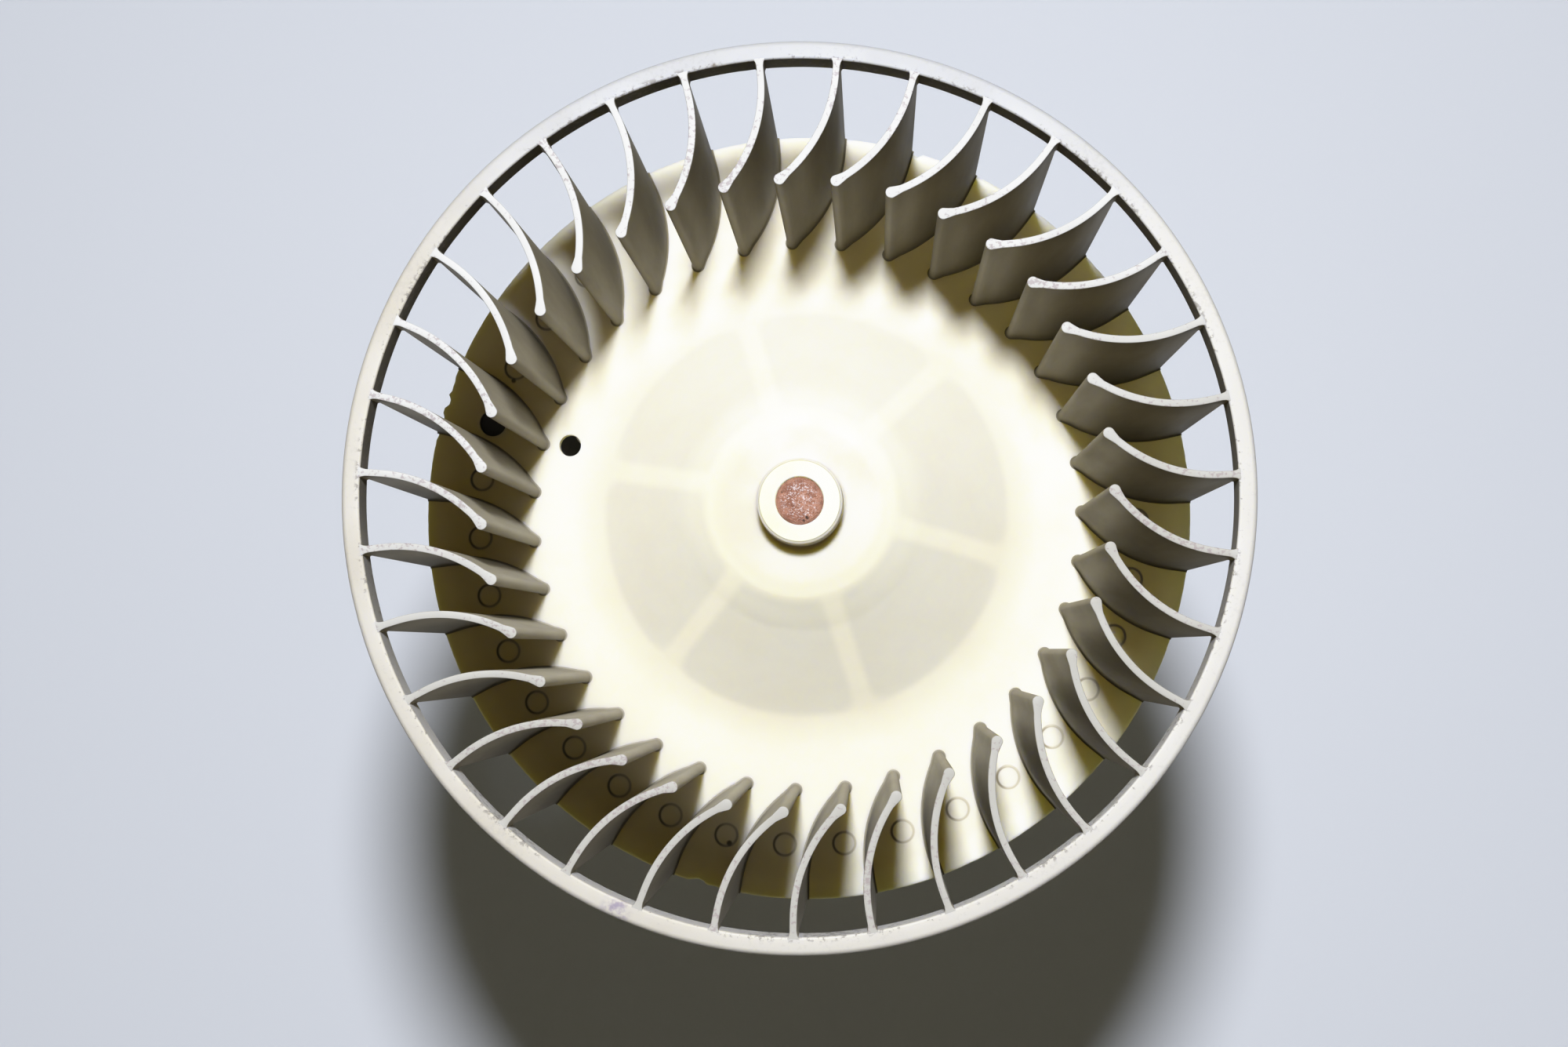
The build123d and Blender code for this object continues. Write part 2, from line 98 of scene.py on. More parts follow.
def newObject(name, mesh, material=None):
    piece = bpy.data.objects.new(name, mesh)
    bpy.context.scene.collection.objects.link(piece)
    if material:
        mesh.materials.append(material)
    return piece


# A mesh turned about Z from an outline of (radius, height) in metres
def lathe(name, outline, segments, closed=True):
    verts, faces = [], []
    count = len(outline)
    for s in range(segments):
        turn = 2 * math.pi * s / segments
        verts += [(p[0] * math.cos(turn), p[0] * math.sin(turn), p[1]) for p in outline]
    for s in range(segments):
        here, there = s * count, ((s + 1) % segments) * count
        for i in range(count if closed else count - 1):
            j = (i + 1) % count
            faces.append((here + i, there + i, there + j, here + j))
    mesh = bpy.data.meshes.new(name)
    mesh.from_pydata(verts, [], faces)
    mesh.validate()
    return newObject(name, mesh)


# Merge doubles, turn faces outwards and shade smooth up to an angle
def tidyMesh(piece, sharpAngle, mergeBy=1e-6):
    work = bmesh.new()
    work.from_mesh(piece.data)
    bmesh.ops.remove_doubles(work, verts=work.verts, dist=mergeBy)
    bmesh.ops.recalc_face_normals(work, faces=work.faces)
    for face in work.faces:
        face.smooth = True
    for edge in work.edges:
        edge.smooth = edge.is_manifold and edge.calc_face_angle(0.0) < math.radians(sharpAngle)
    work.to_mesh(piece.data)
    work.free()


# Turn a piece's modifiers into its plain mesh
def bake(piece):
    graph = bpy.context.evaluated_depsgraph_get()
    mesh = bpy.data.meshes.new_from_object(piece.evaluated_get(graph))
    piece.modifiers.clear()
    old = piece.data
    piece.data = mesh
    mesh.name = piece.name
    if old.users == 0:
        bpy.data.meshes.remove(old)


# Move another object's mesh into a piece
def joinPiece(target, other):
    work = bmesh.new()
    work.from_mesh(target.data)
    work.from_mesh(other.data)
    work.to_mesh(target.data)
    work.free()
    data = other.data
    bpy.data.objects.remove(other)
    bpy.data.meshes.remove(data)


# Camera, lights and floor

view = {
    "place": (12.46, -24.93, 503.9),  # mm, above the ring and a little to its lower right
    "turn": (0.0582, 0.0415, 0.0),  # radians
    "lens": 50.0, "sensor": 36.0, "near": 0.01, "far": 10.0,
}

studio = {
    "keyPlace": (1.5, 114.0, 522.0),  # mm, beside the camera
    "keyRadius": 26.0, "keyPower": 76.0, "keyTint": (0.96, 1.0, 1.08),
    "floorKeyPlace": (13.0, 188.0, 402.0),  # throws the shadow as far as a lower floor would show it
    "floorKeyRadius": 39.0, "floorKeyPower": 45.0,
    "floorFill": 0.15, "floorFillTint": (1.0, 0.95, 0.68),
    "sky": (1.0, 0.90, 0.66), "skyLow": 0.10, "skyHigh": 0.01,
    "skyBand": (0.34, 0.60),  # sines of the heights between which the sky fades
    "floorReach": 3.0, "floorTint": (0.625, 0.635, 0.665), "floorRough": 0.85,
    "floorCloud": 3.0, "floorMottle": 0.97,  # scale of the clouds and tone of the darker ones
    "floorFade": (-0.15, 0.15, 1.10, 0.95),  # where along Y, in metres, the tone changes, and from what to what
    "kneeAt": 0.85, "whiteLevel": 4.0, "toneSteps": 20, "toneSpacing": 2.5,
}


def setView():
    camera = bpy.data.cameras.new("photoCamera")
    camera.lens, camera.sensor_width = view["lens"], view["sensor"]
    camera.clip_start, camera.clip_end = view["near"], view["far"]
    holder = bpy.data.objects.new("photoCamera", camera)
    bpy.context.scene.collection.objects.link(holder)
    holder.location = [v * mm for v in view["place"]]
    holder.rotation_euler = view["turn"]
    bpy.context.scene.camera = holder
    print("camera set")


# A small lamp whose light doesn't fade with distance, like a flash from further off
def addKeyLight(name, place, radius, power):
    lamp = bpy.data.lights.new(name, "POINT")
    lamp.shadow_soft_size = radius * mm
    lamp.energy = power
    lamp.color = studio["keyTint"]
    lamp.use_nodes = True
    tree = lamp.node_tree
    falloff = addNode(tree, "ShaderNodeLightFalloff")
    falloff.inputs["Strength"].default_value = 1.0
    wire(tree, falloff.outputs["Constant"], tree.nodes["Emission"].inputs["Strength"])
    holder = bpy.data.objects.new(name, lamp)
    bpy.context.scene.collection.objects.link(holder)
    holder.location = [v * mm for v in place]
    holder.visible_camera = False
    return holder


# An even light without shadows
def addFill(name, strength, tint):
    lamp = bpy.data.lights.new(name, "SUN")
    lamp.energy = strength
    lamp.color = tint
    lamp.use_shadow = False
    holder = bpy.data.objects.new(name, lamp)
    bpy.context.scene.collection.objects.link(holder)
    return holder


# A collection of objects that a light reaches alone or leaves out
def onlyOrNot(name, pieces, state):
    group = bpy.data.collections.new(name)
    for piece in pieces:
        group.objects.link(piece)
    for row in group.collection_objects:
        row.light_linking.link_state = state
    return group


# A sky that is bright near the horizon and dark overhead, so that the wheel's inside stays dark
def setSky():
    world = bpy.data.worlds.new("studio")
    world.use_nodes = True
    tree = world.node_tree
    back = tree.nodes["Background"]
    back.inputs["Color"].default_value = (*studio["sky"], 1)
    height = partsOf(tree, addNode(tree, "ShaderNodeTexCoord").outputs["Generated"])["Z"]
    strength = ramp(tree, height, *studio["skyBand"], studio["skyLow"], studio["skyHigh"])
    wire(tree, strength, back.inputs["Strength"])
    bpy.context.scene.world = world


# Bright tones roll off softly towards white, as in an overexposed photograph
def setTone():
    settings = bpy.context.scene.view_settings
    settings.view_transform = "Standard"
    settings.use_curve_mapping = True
    mapping = settings.curve_mapping
    white, knee, steps = studio["whiteLevel"], studio["kneeAt"], studio["toneSteps"]
    mapping.white_level = (white, white, white)
    line = mapping.curves[3]  # the curve for all three channels
    inputs = [knee / 2, knee]
    inputs += [knee + (white - knee) * (i / steps) ** studio["toneSpacing"] for i in range(3, steps)]
    for value in inputs:
        over = max(0.0, value - knee)
        line.points.new(value / white, min(value, knee) + (1 - knee) * (1 - math.exp(-over / (1 - knee))))
    for point in line.points:
        point.handle_type = "AUTO_CLAMPED"
    mapping.update()


def setStudio():
    mesh = bpy.data.meshes.new("floor")
    reach = studio["floorReach"]
    mesh.from_pydata([(-reach, -reach, 0), (reach, -reach, 0), (reach, reach, 0), (-reach, reach, 0)],
                     [], [(0, 1, 2, 3)])
    floor = newObject("floor", mesh, makeFloorMaterial())
    key = addKeyLight("keyLight", studio["keyPlace"], studio["keyRadius"], studio["keyPower"])
    key.light_linking.receiver_collection = onlyOrNot("notFloor", [floor], "EXCLUDE")
    floorKey = addKeyLight("floorKeyLight", studio["floorKeyPlace"], studio["floorKeyRadius"],
                           studio["floorKeyPower"])
    fill = addFill("floorFill", studio["floorFill"], studio["floorFillTint"])
    justFloor = onlyOrNot("justFloor", [floor], "INCLUDE")
    floorKey.light_linking.receiver_collection = justFloor
    fill.light_linking.receiver_collection = justFloor
    setSky()
    setTone()
    print("studio set")
    return floorKey


# Shader tools

def newMaterial(name):
    material = bpy.data.materials.new(name)
    material.use_nodes = True
    tree = material.node_tree
    return material, tree, tree.nodes["Principled BSDF"]


def addNode(tree, kind, **settings):
    node = tree.nodes.new(kind)
    for key, value in settings.items():
        setattr(node, key, value)
    return node


def wire(tree, source, target):
    tree.links.new(source, target)


# Set a socket to a number or a colour, or wire another socket to it
def feed(tree, socket, value):
    if isinstance(value, (int, float)):
        socket.default_value = value
    elif isinstance(value, tuple):
        socket.default_value = (*value, 1)
    else:
        wire(tree, value, socket)


# A Math node fed with sockets or numbers
def math2(tree, operation, *values, clamp=False):
    node = addNode(tree, "ShaderNodeMath", operation=operation, use_clamp=clamp)
    for socket, value in zip(node.inputs, values):
        feed(tree, socket, value)
    return node.outputs[0]


# A Vector Math node fed with sockets or plain vectors
def vectorMath(tree, operation, *values):
    node = addNode(tree, "ShaderNodeVectorMath", operation=operation)
    for socket, value in zip(node.inputs, values):
        if isinstance(value, (tuple, list)):
            socket.default_value = value
        else:
            wire(tree, value, socket)
    return node


def partsOf(tree, vector):
    node = addNode(tree, "ShaderNodeSeparateXYZ")
    wire(tree, vector, node.inputs[0])
    return node.outputs


def mixColor(tree, factor, a, b, mode="MIX"):
    node = addNode(tree, "ShaderNodeMix", data_type="RGBA", blend_type=mode)
    node.clamp_factor = True
    for socket, value in ((node.inputs[0], factor), (node.inputs[6], a), (node.inputs[7], b)):
        feed(tree, socket, value)
    return node.outputs[2]


# A colour multiplied by a tint where a mask is 1
def tinted(tree, mask, color, tint):
    return mixColor(tree, mask, color, mixColor(tree, 1.0, color, tint, "MULTIPLY"))


# Map Range from a band of input values to a band of output values
def ramp(tree, value, low, high, fromValue=0.0, toValue=1.0, smooth=True):
    node = addNode(tree, "ShaderNodeMapRange", interpolation_type="SMOOTHSTEP" if smooth else "LINEAR")
    for label, number in (("Value", value), ("From Min", low), ("From Max", high),
                          ("To Min", fromValue), ("To Max", toValue)):
        feed(tree, node.inputs[label], number)
    return node.outputs[0]


# The same for a value in metres, with its band in mm
def rampAlong(tree, value, low, high, *others):
    return ramp(tree, value, low * mm, high * mm, *others)


# A grey whose three channels are one value
def greyOf(tree, value):
    grey = addNode(tree, "ShaderNodeCombineXYZ")
    for socket in grey.inputs:
        wire(tree, value, socket)
    return grey.outputs[0]


def objectPlace(tree):
    return addNode(tree, "ShaderNodeTexCoord").outputs["Object"]


def noiseAt(tree, place, scale, detail, roughness=0.55):
    node = addNode(tree, "ShaderNodeTexNoise")
    for label, value in (("Vector", place), ("Scale", scale), ("Detail", detail), ("Roughness", roughness)):
        feed(tree, node.inputs[label], value)
    return node.outputs[0]


# An empty shader group with float inputs, vector inputs marked by a tuple, and float outputs
def newGroup(name, inputs, outputs):
    tree = bpy.data.node_groups.new(name, "ShaderNodeTree")
    for label, value in inputs.items():
        kind = "NodeSocketVector" if isinstance(value, tuple) else "NodeSocketFloat"
        socket = tree.interface.new_socket(name=label, in_out="INPUT", socket_type=kind)
        socket.default_value = value
    for label in outputs:
        tree.interface.new_socket(name=label, in_out="OUTPUT", socket_type="NodeSocketFloat")
    return tree, tree.nodes.new("NodeGroupInput").outputs, tree.nodes.new("NodeGroupOutput").inputs


speckForm = {
    "detail": 3.0, "roughness": 0.65, "patchDetail": 2.0, "patchRoughness": 0.5, "patchShare": 0.5,
    "threshold": 0.72, "amountShare": 0.3, "sharpness": 14.0,
}


# Scattered specks: where a fine noise passes a threshold that a coarse noise moves
def makeSpeckMask():
    tree, source, result = newGroup(
        "speckMask", {"Place": (0, 0, 0), "Scale": 900.0, "Amount": 0.3, "Patches": 60.0}, ["Mask"])
    fine = noiseAt(tree, source["Place"], source["Scale"], speckForm["detail"], speckForm["roughness"])
    coarse = noiseAt(tree, source["Place"], source["Patches"], speckForm["patchDetail"],
                     speckForm["patchRoughness"])
    patch = math2(tree, "MULTIPLY", math2(tree, "SUBTRACT", coarse, 0.5), speckForm["patchShare"])
    lower = math2(tree, "MULTIPLY", source["Amount"], speckForm["amountShare"])
    threshold = math2(tree, "SUBTRACT", speckForm["threshold"], lower)
    over = math2(tree, "SUBTRACT", math2(tree, "ADD", fine, patch), threshold)
    wire(tree, math2(tree, "MULTIPLY", over, speckForm["sharpness"], clamp=True), result["Mask"])
    return tree


# Dust that settles unevenly, and more or less on faces that look up
def makeDustMask():
    tree, source, result = newGroup(
        "dustMask", {"Place": (0, 0, 0), "Scale": 40.0, "Amount": 0.5, "Upward": 0.3}, ["Mask"])
    cloud = noiseAt(tree, source["Place"], source["Scale"], 6.0, 0.6)
    upright = partsOf(tree, addNode(tree, "ShaderNodeNewGeometry").outputs["Normal"])["Z"]
    up = math2(tree, "MULTIPLY", math2(tree, "MAXIMUM", upright, 0.0), source["Upward"])
    level = math2(tree, "ADD", math2(tree, "MULTIPLY", cloud, source["Amount"]), up, clamp=True)
    wire(tree, level, result["Mask"])
    return tree


def lengthOf(tree, x, y):
    squares = math2(tree, "ADD", math2(tree, "MULTIPLY", x, x), math2(tree, "MULTIPLY", y, y))
    return math2(tree, "SQRT", squares)


# A place folded into one of several equal slices round the axis, in mm from the slice's middle line
def makeFoldedPlace():
    tree, source, result = newGroup(
        "foldedPlace", {"Place": (0, 0, 0), "Count": 6.0, "First": 0.0}, ["Radius", "Along", "Across", "Turn"])
    scaled = vectorMath(tree, "SCALE", source["Place"])
    scaled.inputs["Scale"].default_value = 1 / mm
    x, y, _ = partsOf(tree, scaled.outputs[0])
    radius = lengthOf(tree, x, y)
    angle = math2(tree, "SUBTRACT", math2(tree, "ARCTAN2", y, x), source["First"])
    pitch = math2(tree, "DIVIDE", 2 * math.pi, source["Count"])
    whole = math2(tree, "MULTIPLY", math2(tree, "ROUND", math2(tree, "DIVIDE", angle, pitch)), pitch)
    rest = math2(tree, "SUBTRACT", angle, whole)
    wire(tree, radius, result["Radius"])
    wire(tree, math2(tree, "MULTIPLY", radius, math2(tree, "COSINE", rest)), result["Along"])
    wire(tree, math2(tree, "MULTIPLY", radius, math2(tree, "SINE", rest)), result["Across"])
    wire(tree, math2(tree, "ADD", whole, source["First"]), result["Turn"])
    return tree


speckMask = makeSpeckMask()
dustMask = makeDustMask()
foldedPlace = makeFoldedPlace()


def useGroup(tree, group, **values):
    node = addNode(tree, "ShaderNodeGroup", node_tree=group)
    for label, value in values.items():
        feed(tree, node.inputs[label], value)
    return node.outputs


# The distance from the axis, in mm
def radiusAt(tree, place):
    return useGroup(tree, foldedPlace, Place=place, Count=1.0)["Radius"]


# Roughen a shader's surface, with the distance in mm
def bump(tree, height, strength, distance, shader, normal=None):
    node = addNode(tree, "ShaderNodeBump")
    node.inputs["Strength"].default_value = strength
    node.inputs["Distance"].default_value = distance * mm
    wire(tree, height, node.inputs["Height"])
    if normal is not None:
        wire(tree, normal, node.inputs["Normal"])
    wire(tree, node.outputs[0], shader.inputs["Normal"])


def makeFloorMaterial():
    material, tree, shader = newMaterial("paleFloor")
    place = objectPlace(tree)
    tint = studio["floorTint"]
    darker = tuple(v * studio["floorMottle"] for v in tint)
    color = mixColor(tree, noiseAt(tree, place, studio["floorCloud"], 2.0), darker, tint)
    tone = ramp(tree, partsOf(tree, place)["Y"], *studio["floorFade"], False)
    wire(tree, mixColor(tree, 1.0, color, greyOf(tree, tone), "MULTIPLY"), shader.inputs["Base Color"])
    shader.inputs["Roughness"].default_value = studio["floorRough"]
    return material


# The wheel

wheel = {
    "ringOuter": 72.75, "ringInner": 69.8, "ringHeight": 5.6,
    "ringTopRound": 0.9, "ringInnerRound": 0.35, "ringLowRound": 0.3, "ringSteps": 7,
    "ringGrit": [(900.0, 0.035), (60.0, 0.05)],  # scales of the wear on the edges, and depths in mm
    "depth": 55.0, "discRadius": 70.1, "discThick": 2.0, "discRound": 0.7,
    "bell": [(15.0, 30.2), (21.5, 20.4), (39.0, 0.0)],  # corners of the bell before rounding
    "bellRounds": [4.0, 16.0, 9.0], "bellSteps": 9,
    "hubRadius": 7.2, "hubTop": 36.5, "hubLength": 18.0, "hubChamfer": 0.42, "hubFoot": 0.8,
    "hubDraft": 0.12, "underDraft": 0.05,  # how much wider the hub is where it meets the bell
    "boreRadius": 4.02, "boreChamfer": (0.2, 0.25),
    "hubFlat": 2.2, "rimFlat": 4.0,  # how far the hub's and the rim's own lines reach into the disc
    "longestStep": 2.4,
    "holeRadius": 2.0, "holeAt": 45.5, "pocketRadius": 2.45, "pocketAt": 60.5, "pocketDepth": 1.4,
    "markAngle": 163.6, "cutterReach": (-4.0, 2.0), "cutterSegments": 48,
    "sectors": 6, "sectorOuter": 36.7, "sectorInner": 16.6, "sectorRib": 3.4, "sectorAngle": 47.2,
    "sectorSink": 0.1, "sectorEdge": 0.9,
    "discSegments": 500, "ringSegments": 720, "discSharp": 45, "ringSharp": 50,
}

blades = {
    "count": 35, "firstAngle": 84.5, "thick": 1.1, "tipExtra": 0.1, "lip": 0.92, "lipReach": 1.7,
    "straight": 3.0, "curve": 24.0, "tipAt": 50.35, "ringReach": 0.3, "sunk": 0.5,
    "foot": 0.35, "ringFillet": 0.45, "filletReach": 0.6, "topRound": 0.13,
    "straightSteps": 5, "curveSteps": 22, "lipSteps": 10, "footSteps": 5, "topSteps": 3,
    "levels": (6.0, 14.0, 24.0, 34.0, 42.0),  # heights of the plain outlines, in mm
    "seed": 7, "play": 0.05, "sharp": 50,  # play in degrees
    "markAt": 60.3, "markOffset": 6.9, "markRadius": 2.0, "markSegments": 28, "markSharp": 80,
    "markProfile": [(-0.2, -0.05), (-0.1, 0.06), (0.04, 0.065), (0.14, -0.05)],  # from its radius, in mm
    "pocketClear": 3.2,
}

discTop = wheelTop - wheel["depth"] * mm


# A wheel outline point, from mm above the disc to metres in the frame
def wheelPoint(radius, height):
    return Vector((radius * mm, discTop + height * mm))


# The line from the hub to the rim at a depth below the wheel's upper face, in mm
def bellLine(depth):
    corners = [(0.0, wheel["bell"][0][1])] + wheel["bell"] + [(wheel["discRadius"], 0.0)]
    points = [Vector(c) for c in corners]
    along = [(b - a).normalized() for a, b in zip(points, points[1:])]
    down = [Vector((d.y, -d.x)) for d in along]
    moved = [points[0] + down[0] * depth]
    for point, one, two in zip(points[1:], down, down[1:]):
        moved.append(point + (one + two) * (depth / (1 + one.dot(two))))
    moved.append(points[-1] + down[-1] * depth)
    firstRound, *otherRounds = wheel["bellRounds"]  # the first corner turns the other way
    return roundedLine(moved, [firstRound - depth] + [r + depth for r in otherRounds], wheel["bellSteps"])


# The closed section of disc, bell and hub
def discOutline():
    bellTop, thick = wheel["bell"][0][1], wheel["discThick"]
    top, base = wheel["hubTop"], wheel["hubTop"] - wheel["hubLength"]
    hub, bore, cut = wheel["hubRadius"], wheel["boreRadius"], wheel["hubChamfer"]
    rim, edge = wheel["discRadius"], wheel["discRound"]
    flatEnd, rimStart = hub + wheel["hubFlat"], rim - wheel["rimFlat"]
    boreCut, boreDrop = wheel["boreChamfer"]
    head = roundedLine(
        [(bore, top - boreDrop), (bore + boreCut, top), (hub - cut, top), (hub, top - cut * 1.4),
         (hub + wheel["hubDraft"], bellTop), (flatEnd, bellTop)],
        [0.0, 0.05, 0.1, wheel["hubFoot"]], 5)
    rimLine = roundedLine([(rimStart, 0.0), (rim, 0.0), (rim, -thick), (rimStart, -thick)], [edge, edge], 6)
    under = roundedLine(
        [(flatEnd, bellTop - thick), (hub + wheel["underDraft"], bellTop - thick), (hub, base), (bore, base)],
        [0.5, 0.3], 4)
    upper, lower = ([p for p in bellLine(depth) if flatEnd + 0.1 < p.x < rimStart - 0.1]
                    for depth in (0.0, thick))
    line = head + upper + rimLine + lower[::-1] + under
    line = spread(line + [line[0]], wheel["longestStep"])[:-1]
    return [wheelPoint(p.x, p.y) for p in line]


# 1 inside the thin sectors, 0 on the ribs and beyond, with soft edges, from mm
def sectorMask(x, y):
    radius = math.hypot(x, y)
    pitch = 2 * math.pi / wheel["sectors"]
    angle = math.atan2(y, x) - math.radians(wheel["sectorAngle"]) - pitch / 2
    angle -= pitch * round(angle / pitch)
    edge = min(wheel["sectorOuter"] - radius, radius - wheel["sectorInner"],
               radius * math.sin(pitch / 2 - abs(angle)) - wheel["sectorRib"] / 2)
    return min(1.0, max(0.0, edge / wheel["sectorEdge"] + 0.5))


rimDamage = {
    "nicks": [(73.1, 1.1, 1.2), (160.0, 1.2, 0.5), (162.3, 0.9, 1.3), (165.4, 0.8, 1.2), (167.3, 1.0, 0.5),
              (-106.4, 1.4, 1.1), (-104.0, 0.7, 0.5)],  # angle, half width in degrees, depth in mm
    "reach": 1.2, "ragged": (0.65, 0.7),  # mm from the rim, and how the grit changes a nick's depth
    "grit": 0.10, "gritScale": 1.3,
}


# How far the disc's rim is worn in at a place, in mm
def rimWear(x, y):
    angle = math.degrees(math.atan2(y, x))
    wearAndPaintedLightAndShade = 0.0
    for place, width, depth in rimDamage["nicks"]:
        apart = abs((angle - place + 180) % 360 - 180)
        if apart < width:
            wearAndPaintedLightAndShade = max(wearAndPaintedLightAndShade, depth * (1 - (apart / width) ** 2))
    grit = noise.noise(Vector((x, y, 0)) * rimDamage["gritScale"])
    plain, ragged = rimDamage["ragged"]
    return wearAndPaintedLightAndShade * (plain + ragged * grit) + rimDamage["grit"] * max(0.0, grit)


# Disc, bell and hub, with the worn rim, the drain hole and the balance pocket
def makeDisc():
    disc = lathe("wheelMoulding", discOutline(), wheel["discSegments"])
    rimStart = wheel["discRadius"] - rimDamage["reach"]
    for vert in disc.data.vertices:
        x, y, _ = vert.co / mm
        radius = math.hypot(x, y)
        if wheel["sectorInner"] - 1 < radius < wheel["sectorOuter"] + 1:
            vert.co.z -= wheel["sectorSink"] * mm * sectorMask(x, y)
        if radius > rimStart:
            pull = rimWear(x, y) * (radius - rimStart) / rimDamage["reach"] * mm
            vert.co.x -= pull * x / radius
            vert.co.y -= pull * y / radius
    tidyMesh(disc, wheel["discSharp"])
    cutters = []
    below, above = wheel["cutterReach"]
    for name, at, radius, low in (
            ("holeCutter", wheel["holeAt"], wheel["holeRadius"], below),
            ("pocketCutter", wheel["pocketAt"], wheel["pocketRadius"], -wheel["pocketDepth"])):
        work = bmesh.new()
        bmesh.ops.create_cone(work, cap_ends=True, segments=wheel["cutterSegments"], radius1=radius * mm,
                              radius2=radius * mm, depth=(above - low) * mm)
        middle = roundAxis(at * mm, wheel["markAngle"], discTop + (low + above) / 2 * mm)
        bmesh.ops.translate(work, verts=work.verts, vec=middle)
        mesh = bpy.data.meshes.new(name)
        work.to_mesh(mesh)
        work.free()
        cut = disc.modifiers.new(name, "BOOLEAN")
        cut.operation, cut.solver, cut.object = "DIFFERENCE", "EXACT", newObject(name, mesh)
        cutters.append(cut.object)
    bake(disc)
    for cutter in cutters:
        bpy.data.objects.remove(cutter)
    tidyMesh(disc, wheel["discSharp"])
    return disc


# The inlet ring, with its rounded top edge
def makeRing():
    outer, inner, top = wheel["ringOuter"], wheel["ringInner"], wheel["depth"]
    low, middle = top - wheel["ringHeight"], top - wheel["ringHeight"] / 2
    corners = [(inner, middle), (inner, top), (outer, top), (outer, low), (inner, low), (inner, middle)]
    rounds = [wheel[edge + "Round"] for edge in ("ringInner", "ringTop", "ringLow", "ringLow")]
    line = roundedLine(corners, rounds, wheel["ringSteps"])[:-1]
    ring = lathe("wheelRing", [wheelPoint(p.x, p.y) for p in line], wheel["ringSegments"])
    for vert in ring.data.vertices:  # the edges are a little ragged from wear
        grit = sum(noise.noise(vert.co * scale) * depth for scale, depth in wheel["ringGrit"])
        outwards = Vector((vert.co.x, vert.co.y, 0)).normalized()
        vert.co -= outwards * max(0.0, grit) * mm
    tidyMesh(ring, wheel["ringSharp"])
    return ring


# Centre points, directions and lengths along a blade, in mm, from the ring to the lip
def bladeStations():
    outerEnd = wheel["ringInner"] + blades["ringReach"]
    turnAt = Vector((outerEnd - blades["straight"], 0))
    centre = turnAt + Vector((0, blades["curve"]))
    span = centre.length
    along = (blades["tipAt"] ** 2 - blades["curve"] ** 2 + span ** 2) / (2 * span)
    across = math.sqrt(blades["tipAt"] ** 2 - along ** 2)
    unit = centre.normalized()
    lips = [unit * along + Vector((unit.y, -unit.x)) * side * across for side in (1, -1)]
    lip = max(lips, key=lambda p: p.x)
    start = turnAt - centre
    sweep = -start.angle_signed(lip - centre)
    steps, turns = blades["straightSteps"], blades["curveSteps"]
    points = [Vector((outerEnd - blades["straight"] * i / steps, 0)) for i in range(steps)]
    points += [centre + turned(start, sweep * i / turns) for i in range(turns + 1)]
    lengths = [0.0]
    for a, b in zip(points, points[1:]):
        lengths.append(lengths[-1] + (b - a).length)
    result = []
    for i, point in enumerate(points):
        a, b = points[max(0, i - 1)], points[min(len(points) - 1, i + 1)]
        result.append((point, (b - a).normalized(), lengths[i], lengths[-1]))
    return result


# The closed outline of a blade at one height: out along one side, round the lip, back along the other
def bladeOutline(stations, grow, ringFlare, inset):
    left, right = [], []
    for point, along, length, whole in stations:
        side = Vector((-along.y, along.x))
        half = (blades["thick"] + blades["tipExtra"] * length / whole) / 2
        nearTip = max(0.0, 1 - (whole - length) / blades["lipReach"])
        half += (blades["lip"] - half) * nearTip * nearTip * (3 - 2 * nearTip)
        gap = wheel["ringInner"] - point.length
        if ringFlare and gap < blades["filletReach"]:
            half += ringFlare * (1 - max(0.0, gap) / blades["filletReach"]) ** 2
        half += grow - inset
        left.append(point + side * half)
        right.append(point - side * half)
    point, along = stations[-1][:2]
    radius = blades["lip"] + grow - inset
    side = Vector((-along.y, along.x))
    cap = []
    for i in range(1, blades["lipSteps"]):
        angle = math.pi * i / blades["lipSteps"]
        cap.append(point + side * radius * math.cos(angle) + along * radius * math.sin(angle))
    return left + cap + right[::-1]


# One blade as a loft of outlines, with a fillet at its foot and a rounded top edge
def makeBladeMesh():
    stations = bladeStations()
    foot, fillet, edge = blades["foot"], blades["ringFillet"], blades["topRound"]
    top, ringLow = wheel["depth"], wheel["depth"] - wheel["ringHeight"]
    levels = [(-blades["sunk"], foot, 0.0, 0.0)]  # height, growth, flare at the ring and inset, in mm
    for i in range(blades["footSteps"] + 1):  # a quarter round at the foot
        angle = math.pi / 2 * i / blades["footSteps"]
        levels.append((foot * (1 - math.cos(angle)), foot * (1 - math.sin(angle)), 0.0, 0.0))
    levels += [(z, 0.0, 0.0, 0.0) for z in (*blades["levels"], ringLow - 0.5)]
    levels += [(z, 0.0, fillet, 0.0) for z in (ringLow, top - 2.0)]
    for i in range(blades["topSteps"] + 1):
        angle = math.pi / 2 * i / blades["topSteps"]
        levels.append((top - edge + edge * math.sin(angle), 0.0, fillet, edge * (1 - math.cos(angle))))
    verts, faces = [], []
    for z, *sizes in levels:
        loop = bladeOutline(stations, *sizes)
        verts += [(p.x * mm, p.y * mm, discTop + z * mm) for p in loop]
    count = len(loop)
    for low in range(0, (len(levels) - 1) * count, count):
        for i in range(count):
            j = (i + 1) % count
            faces.append((low + i, low + j, low + count + j, low + count + i))
    for base in (0, (len(levels) - 1) * count):  # close the bottom and the top with strips
        for i in range(len(stations) - 1):
            faces.append((base + i, base + i + 1, base + count - 2 - i, base + count - 1 - i))
        first, last = len(stations) - 1, count - len(stations)
        faces.append(tuple(base + i for i in range(first, last + 1)))
    mesh = bpy.data.meshes.new("blade")
    mesh.from_pydata(verts, [], faces)
    return mesh


